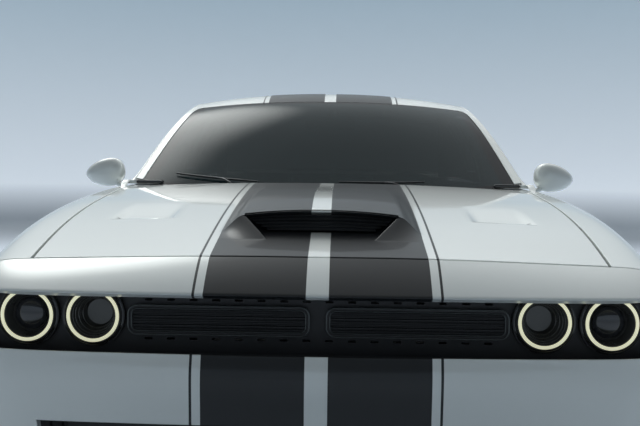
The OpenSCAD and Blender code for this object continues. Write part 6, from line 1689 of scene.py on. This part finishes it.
def stuffed(outline, half, voxel, pressure, cap):
    """A closed form of that side outline and half width, its sides drawn in at both ends, remeshed evenly and
    swollen by a cloth simulation under pressure; no point moves further than the cap."""
    t = np.linspace(0, 1, 5, endpoint=False)
    edge = np.concatenate([mix(outline, np.roll(outline, -1, 0), k)[:, None] for k in t], 1).reshape(-1, 2)
    for _ in range(3):
        edge = (np.roll(edge, 1, 0) + 2 * edge + np.roll(edge, -1, 0)) / 4
    middle = edge.mean(0)
    u = np.sin(np.linspace(-1, 1, 27) * np.pi / 2)
    drawn = [mix(middle, edge, (1 - abs(k) ** 9) * 0.22 + 0.78) for k in u]
    rings = np.stack([xyz(half * k, side[:, 0], side[:, 1]) for k, side in zip(u, drawn)])
    form = Build()
    form.closed(rings)
    mesh = bpy.data.meshes.new("stuffing")
    mesh.from_pydata(np.concatenate(form.verts), [], [row for f in form.faces for row in f.tolist()])
    obj = bpy.data.objects.new("stuffing", mesh)
    scene = bpy.context.scene
    scene.collection.objects.link(obj)
    even = obj.modifiers.new("even", "REMESH")
    even.mode, even.voxel_size = "VOXEL", voxel
    obj.data = bpy.data.meshes.new_from_object(obj.evaluated_get(bpy.context.evaluated_depsgraph_get()))
    obj.modifiers.clear()
    rest = np.empty(len(obj.data.vertices) * 3)
    obj.data.vertices.foreach_get("co", rest)
    rest = rest.reshape(-1, 3)
    cloth = obj.modifiers.new("swell", "CLOTH").settings
    cloth.use_pressure, cloth.uniform_pressure_force = True, pressure
    cloth.effector_weights.gravity = 0.0
    cloth.quality, cloth.mass = 4, 0.3
    for k in range(1, CLOTH_FRAMES + 1):
        scene.frame_set(k)
    swollen = np.empty(rest.size)
    obj.evaluated_get(bpy.context.evaluated_depsgraph_get()).data.vertices.foreach_get("co", swollen)
    move = swollen.reshape(-1, 3) - rest
    rest = rest + move * np.minimum(1.0,
                                    cap / np.maximum(np.linalg.norm(move, axis=1, keepdims=True), 1e-9))
    scene.frame_set(1)
    obj.data.calc_loop_triangles()
    faces = np.empty(len(obj.data.loop_triangles) * 3, int)
    obj.data.loop_triangles.foreach_get("vertices", faces)
    for used in (mesh, obj.data):
        bpy.data.meshes.remove(used)
    return rest, faces.reshape(-1, 3)


def sewn(verts, along, rows, panel_half, bolster, depth=0.006):
    """Sews a swollen form: rows of channels across its middle, a seam at each side and bolsters beyond them.
    along and up are the cushion's own directions in the side view."""
    p = verts.copy()
    up = np.array([0.0, -along[2], along[1]])
    d, ax = p @ along, np.abs(p[:, 0])
    h = p @ up
    top = ease((h - np.median(h)) / 0.03)
    channel = sum(np.exp(-((d - k) / 0.007) ** 2) for k in rows) * ease((panel_half - ax) / 0.008)
    seam = np.exp(-((ax - panel_half) / 0.006) ** 2)
    rise = bolster * ease((ax - panel_half) / 0.05) * ease((p[:, 0].max() - ax) / 0.05 + 0.35)
    return p + up * (top * (rise - depth * np.maximum(channel, seam)))[:, None]


class CAR_OT_seats(bpy.types.Operator):
    """Front seats and rear bench as swollen leather cushions with sewn channels"""
    bl_idname = "car.seats"
    bl_label = "Seats"

    def execute(self, context):
        form = form_of(context)
        s = form.s
        seat = np.array([s.seat_side, form.nose + s.seat_along, 0.0])
        # Name, outline, slope, places of the channels, half width of the middle, height of the bolsters.
        plan = (("seat_cushion", CUSHION_OUTLINE, (1.0, -0.07), np.linspace(-0.40, -0.06, 7), 0.140, 0.030),
                ("seat_back", BACK_OUTLINE, (0.43, 0.90), np.linspace(0.52, 0.84, 7), 0.130, 0.034))
        for name, outline, slope, rows, half, bolster in plan:
            verts, faces = stuffed(outline, s.seat_half - 0.012, voxel=0.009, pressure=3.0, cap=0.012)
            along = np.array([0.0, *slope]) / np.hypot(*slope)
            verts = sewn(verts, along, rows, half, bolster)
            for side, flip in SIDES:
                first = name == "seat_back" and side == "left"
                made = new_piece(f"{name}_{side}", verts + seat * flip, faces, "body", "leather",
                                 replaces=("front_seats",) if first else ())
        verts, faces = stuffed(REST_OUTLINE, REST_HALF, voxel=0.008, pressure=3.0, cap=0.008)
        posts = Build()
        for side, flip in SIDES:
            at = seat * flip
            made = new_piece(f"head_rest_{side}", verts + at, faces, "body", "leather")
            for x in (-0.06, 0.06):
                foot = at + [x, 0.300, 0.84]
                posts.closed(tube(foot + np.linspace(0, 1, 4)[:, None] * np.array([0, 0.028, 0.10]), 0.007))
            for low, high, edge in SEAT_FRAME_BOXES:
                posts.closed(slab(at + low, at + high, edge))
        posts.piece("seat_frames", "body", "cabin", "cabin_plastic")
        for name, outline, slope, rows, bolster in (
                ("bench_cushion", BENCH_CUSHION_OUTLINE, (1.0, -0.10), np.linspace(0.40, 0.62, 5), 0.014),
                ("bench_back", BENCH_BACK_OUTLINE, (0.40, 0.92), np.linspace(0.80, 1.12, 7), 0.016)):
            verts, faces = stuffed(outline, s.bench_half - 0.015, voxel=0.011, pressure=3.0, cap=0.012)
            along = np.array([0.0, *slope]) / np.hypot(*slope)
            made = new_piece(name, sewn(verts, along, rows, 0.45, bolster), faces, "body", "leather",
                             replaces=("rear_seat",) if name == "bench_back" else ())
        return {"FINISHED"}


class CAR_OT_wipers(bpy.types.Operator):
    """Two wipers: pivots, arms and blades that lie on the foot of the windscreen"""
    bl_idname = "car.wipers"
    bl_label = "Wipers"

    def execute(self, context):
        form = form_of(context)
        foot = form.at(GLASS_SHARES[0])
        lift = np.array([0.0, -0.004, 0.008])
        wipers = Build()
        for c0, c1 in WIPER_SHARES:
            c = np.linspace(c0, c1, 18)
            blade = form.canopy(foot + np.linspace(*BLADE_RISE, 18), c) + lift
            wipers.closed(tube(blade, BLADE_RADIUS * (1 - 0.3 * np.abs(np.linspace(-1, 1, 18)) ** 3), 8))
            root = form.canopy(foot - 0.016, mix(c0, c1, 0.80)) + lift
            u = np.linspace(0, 1, 10)[:, None]
            arm = mix(root, blade[9], u) + np.array([0.0, -0.006, 0.014]) * (4 * u * (1 - u))
            wipers.closed(tube(arm, mix(*ARM_RADII, u[:, 0]), 8))
            wipers.closed(tube(root + np.linspace(-1, 1, 4)[:, None] * np.array([0, 0, PIVOT_HALF]),
                               PIVOT_RADIUS, 14))
        wipers.piece("wiper_blades", "body", "wiper", "black_plastic", ("wipers",))
        return {"FINISHED"}


class CAR_OT_sills(bpy.types.Operator):
    """Sills under the doors"""
    bl_idname = "car.sills"
    bl_label = "Sills"

    def execute(self, context):
        form = form_of(context)
        s, reach = form.s, form.s.arch_radius + 0.002
        y = np.linspace(form.front_axle + reach, form.rear_axle - reach, 50)[:, None]
        z = mix(s.sill_height, s.sill_top, np.linspace(0, 1, 14))[None, :]
        both_sides("side_sill", form.on_body(y, form.v_at_height(y, z)), "paint", "sill", thick=0.02)
        return {"FINISHED"}


def ramp(tree, factor, *stops):
    """A colour that passes through stops of (place, colour)."""
    made = tree.nodes.new("ShaderNodeValToRGB")
    tree.links.new(factor, made.inputs["Fac"])
    for k, (place, colour) in enumerate(stops):
        stop = made.color_ramp.elements[k] if k < 2 else made.color_ramp.elements.new(place)
        stop.position, stop.color = place, (*colour, 1)
    return made.outputs["Color"]


def studio_floor(context):
    """Flat floor that runs up a quarter circle into a round wall; the wall glows, most behind the car."""
    st, colours = context.scene.car_stage, context.scene.car_colours
    a = np.linspace(0, np.pi / 2, 40)
    r = np.concatenate([[0.01, 6.0, 12.0], st.floor_radius + st.wall_height * np.sin(a)])[:, None]
    z = np.concatenate([np.zeros(3), st.wall_height * (1 - np.cos(a))])[:, None]
    c = circle(96)
    mesh = bpy.data.meshes.new("studio_floor")
    mesh.from_pydata(xyz(r * c[:, 0], r * c[:, 1], z).reshape(-1, 3), [],
                     quads(len(r), len(c), round_cols=True).tolist())
    mesh.polygons.foreach_set("use_smooth", np.ones(len(mesh.polygons), bool))
    floor = bpy.data.objects.new("studio_floor", mesh)
    context.scene.collection.objects.link(floor)
    mat, tree, shader = finish_of("studio_floor", {"Roughness": 0.7})
    _, y, z = coordinates(tree, "Object")
    glow = ramp(tree, scaled(tree, z, 0.0, 1.0, 0.0, st.wall_height),
                (0.0, (0, 0, 0)), (0.12, colours.wall_low), (1.0, colours.wall_high))
    tree.links.new(drifting(tree, noise(tree, 2.0), colours.floor, 0.98, 1.02), shader.inputs["Base Color"])
    tree.links.new(glow, shader.inputs["Emission Color"])
    tree.links.new(scaled(tree, y, 0.05, 1.0, -8.0, 8.0), shader.inputs["Emission Strength"])
    mesh.materials.append(mat)


def studio_sky(context):
    """Sky that is paler upwards and stronger behind the car, with a bright haze round one direction."""
    world = bpy.data.worlds.new("studio")
    context.scene.world = world
    world.use_nodes = True
    tree = world.node_tree
    back = tree.nodes["Background"]
    _, y, z = coordinates(tree, "Generated")
    sky = ramp(tree, scaled(tree, z, 0.0, 1.0, -1.0, 1.0), (0.48, (0.24, 0.35, 0.42)),
               (0.85, (0.92, 0.97, 1.0)))
    toward = node(tree, "ShaderNodeVectorMath", operation="DOT_PRODUCT")
    tree.links.new(tree.nodes.new("ShaderNodeTexCoord").outputs["Generated"], toward.inputs[0])
    toward.inputs[1].default_value = context.scene.car_stage.haze
    near = scaled(tree, toward.outputs["Value"], 0.0, 1.0, 0.955, 1.0, "SMOOTHSTEP")
    tree.links.new(mix_colour(tree, near, sky, (5.5, 5.7, 5.6)), back.inputs["Color"])
    tree.links.new(scaled(tree, y, 0.13, 0.80, -0.8, 1.0, "SMOOTHSTEP"), back.inputs["Strength"])


# Area lights: name, place, aim, size and power.
LIGHTS = (("key", (-4.6, 3.4, 5.5), (0, -0.6, 0.8), 3.0, 90.0),
          ("top", (0.3, 6.2, 6.2), (0, -1.0, 0.6), 6.0, 1250.0))


class CAR_OT_stage(bpy.types.Operator):
    """Floor, light and camera"""
    bl_idname = "car.stage"
    bl_label = "Stage"

    def execute(self, context):
        scene, st = context.scene, context.scene.car_stage
        studio_floor(context)
        studio_sky(context)
        for name, place, aim, size, power in LIGHTS:
            light = bpy.data.lights.new(name, "AREA")
            light.energy, light.size = power, size
            lamp = bpy.data.objects.new(name, light)
            scene.collection.objects.link(lamp)
            lamp.location = place
            lamp.visible_glossy = False
            x, y, z = np.array(place) - np.array(aim)
            lamp.rotation_euler = Euler((math.atan2(math.hypot(x, y), z), 0, math.atan2(y, x) + math.pi / 2))
        cam = bpy.data.cameras.new("camera")
        cam.lens, cam.sensor_width, cam.clip_end = st.lens, 36.0, 200.0
        eye = bpy.data.objects.new("camera", cam)
        scene.collection.objects.link(eye)
        turn = (Matrix.Rotation(st.yaw, 4, "Z") @ Matrix.Rotation(math.pi / 2 - st.pitch, 4, "X")
                @ Matrix.Rotation(st.roll, 4, "Z"))
        eye.matrix_world = Matrix.Translation(st.eye) @ turn
        scene.camera = eye
        scene.view_settings.view_transform = "Standard"
        return {"FINISHED"}


class CAR_OT_solids(bpy.types.Operator):
    """Finishes of the solids that stay in view"""
    bl_idname = "car.solids"
    bl_label = "Solids"

    def execute(self, context):
        plan = {"paint": "paint", "glass": "glass", "tyre": "rubber", "alloy": "alloy", "lamp": "bowl",
                "red_lens": "tail_lens",
                "black_plastic": "plastic", "cabin_plastic": "cabin", "leather": "leather",
                "underbody": "underbody", "steel": "steel"}
        slots = {p["node"]: p["material_slot"] for p in frame["record"]["subparts"]}
        for name, obj in frame["nodes"].items():
            obj.data.materials.clear()
            obj.data.materials.append(FINISHES[plan[slots[name]]])
        return {"FINISHED"}


class CAR_PT_panel(bpy.types.Panel):
    """Lists the pieces of the car"""
    bl_idname = "CAR_PT_panel"
    bl_label = "Muscle car"
    bl_space_type = "VIEW_3D"
    bl_region_type = "UI"
    bl_category = "Car"

    def draw(self, context):
        """One button for each piece."""
        for made in OPERATORS:
            self.layout.operator(made.bl_idname)


OPERATORS = (CAR_OT_solids, CAR_OT_front_cover, CAR_OT_fenders, CAR_OT_quarters, CAR_OT_hood, CAR_OT_trunk,
             CAR_OT_trunk_lining, CAR_OT_rear_cover, CAR_OT_roof, CAR_OT_pillar_feet, CAR_OT_lamps,
             CAR_OT_grille,
             CAR_OT_mirrors, CAR_OT_glass, CAR_OT_doors, CAR_OT_tail_lamps, CAR_OT_sills, CAR_OT_wipers,
             CAR_OT_wheels, CAR_OT_seats, CAR_OT_stage)
CLASSES = (CarSizes, CarColours, CarStage, *OPERATORS, CAR_PT_panel)


def register():
    """Registers the classes and puts their sizes on the scene."""
    for made in CLASSES:
        bpy.utils.register_class(made)
    bpy.types.Scene.car_sizes = bpy.props.PointerProperty(type=CarSizes)
    bpy.types.Scene.car_colours = bpy.props.PointerProperty(type=CarColours)
    bpy.types.Scene.car_stage = bpy.props.PointerProperty(type=CarStage)


def unregister():
    """Takes back all that register did."""
    del bpy.types.Scene.car_sizes, bpy.types.Scene.car_colours, bpy.types.Scene.car_stage
    for made in reversed(CLASSES):
        bpy.utils.unregister_class(made)


def main():
    """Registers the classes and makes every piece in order."""
    register()
    make_finishes(bpy.context)
    for made in OPERATORS:
        group, name = made.bl_idname.split(".")
        getattr(getattr(bpy.ops, group), name)()


if __name__ == "__main__":
    main()
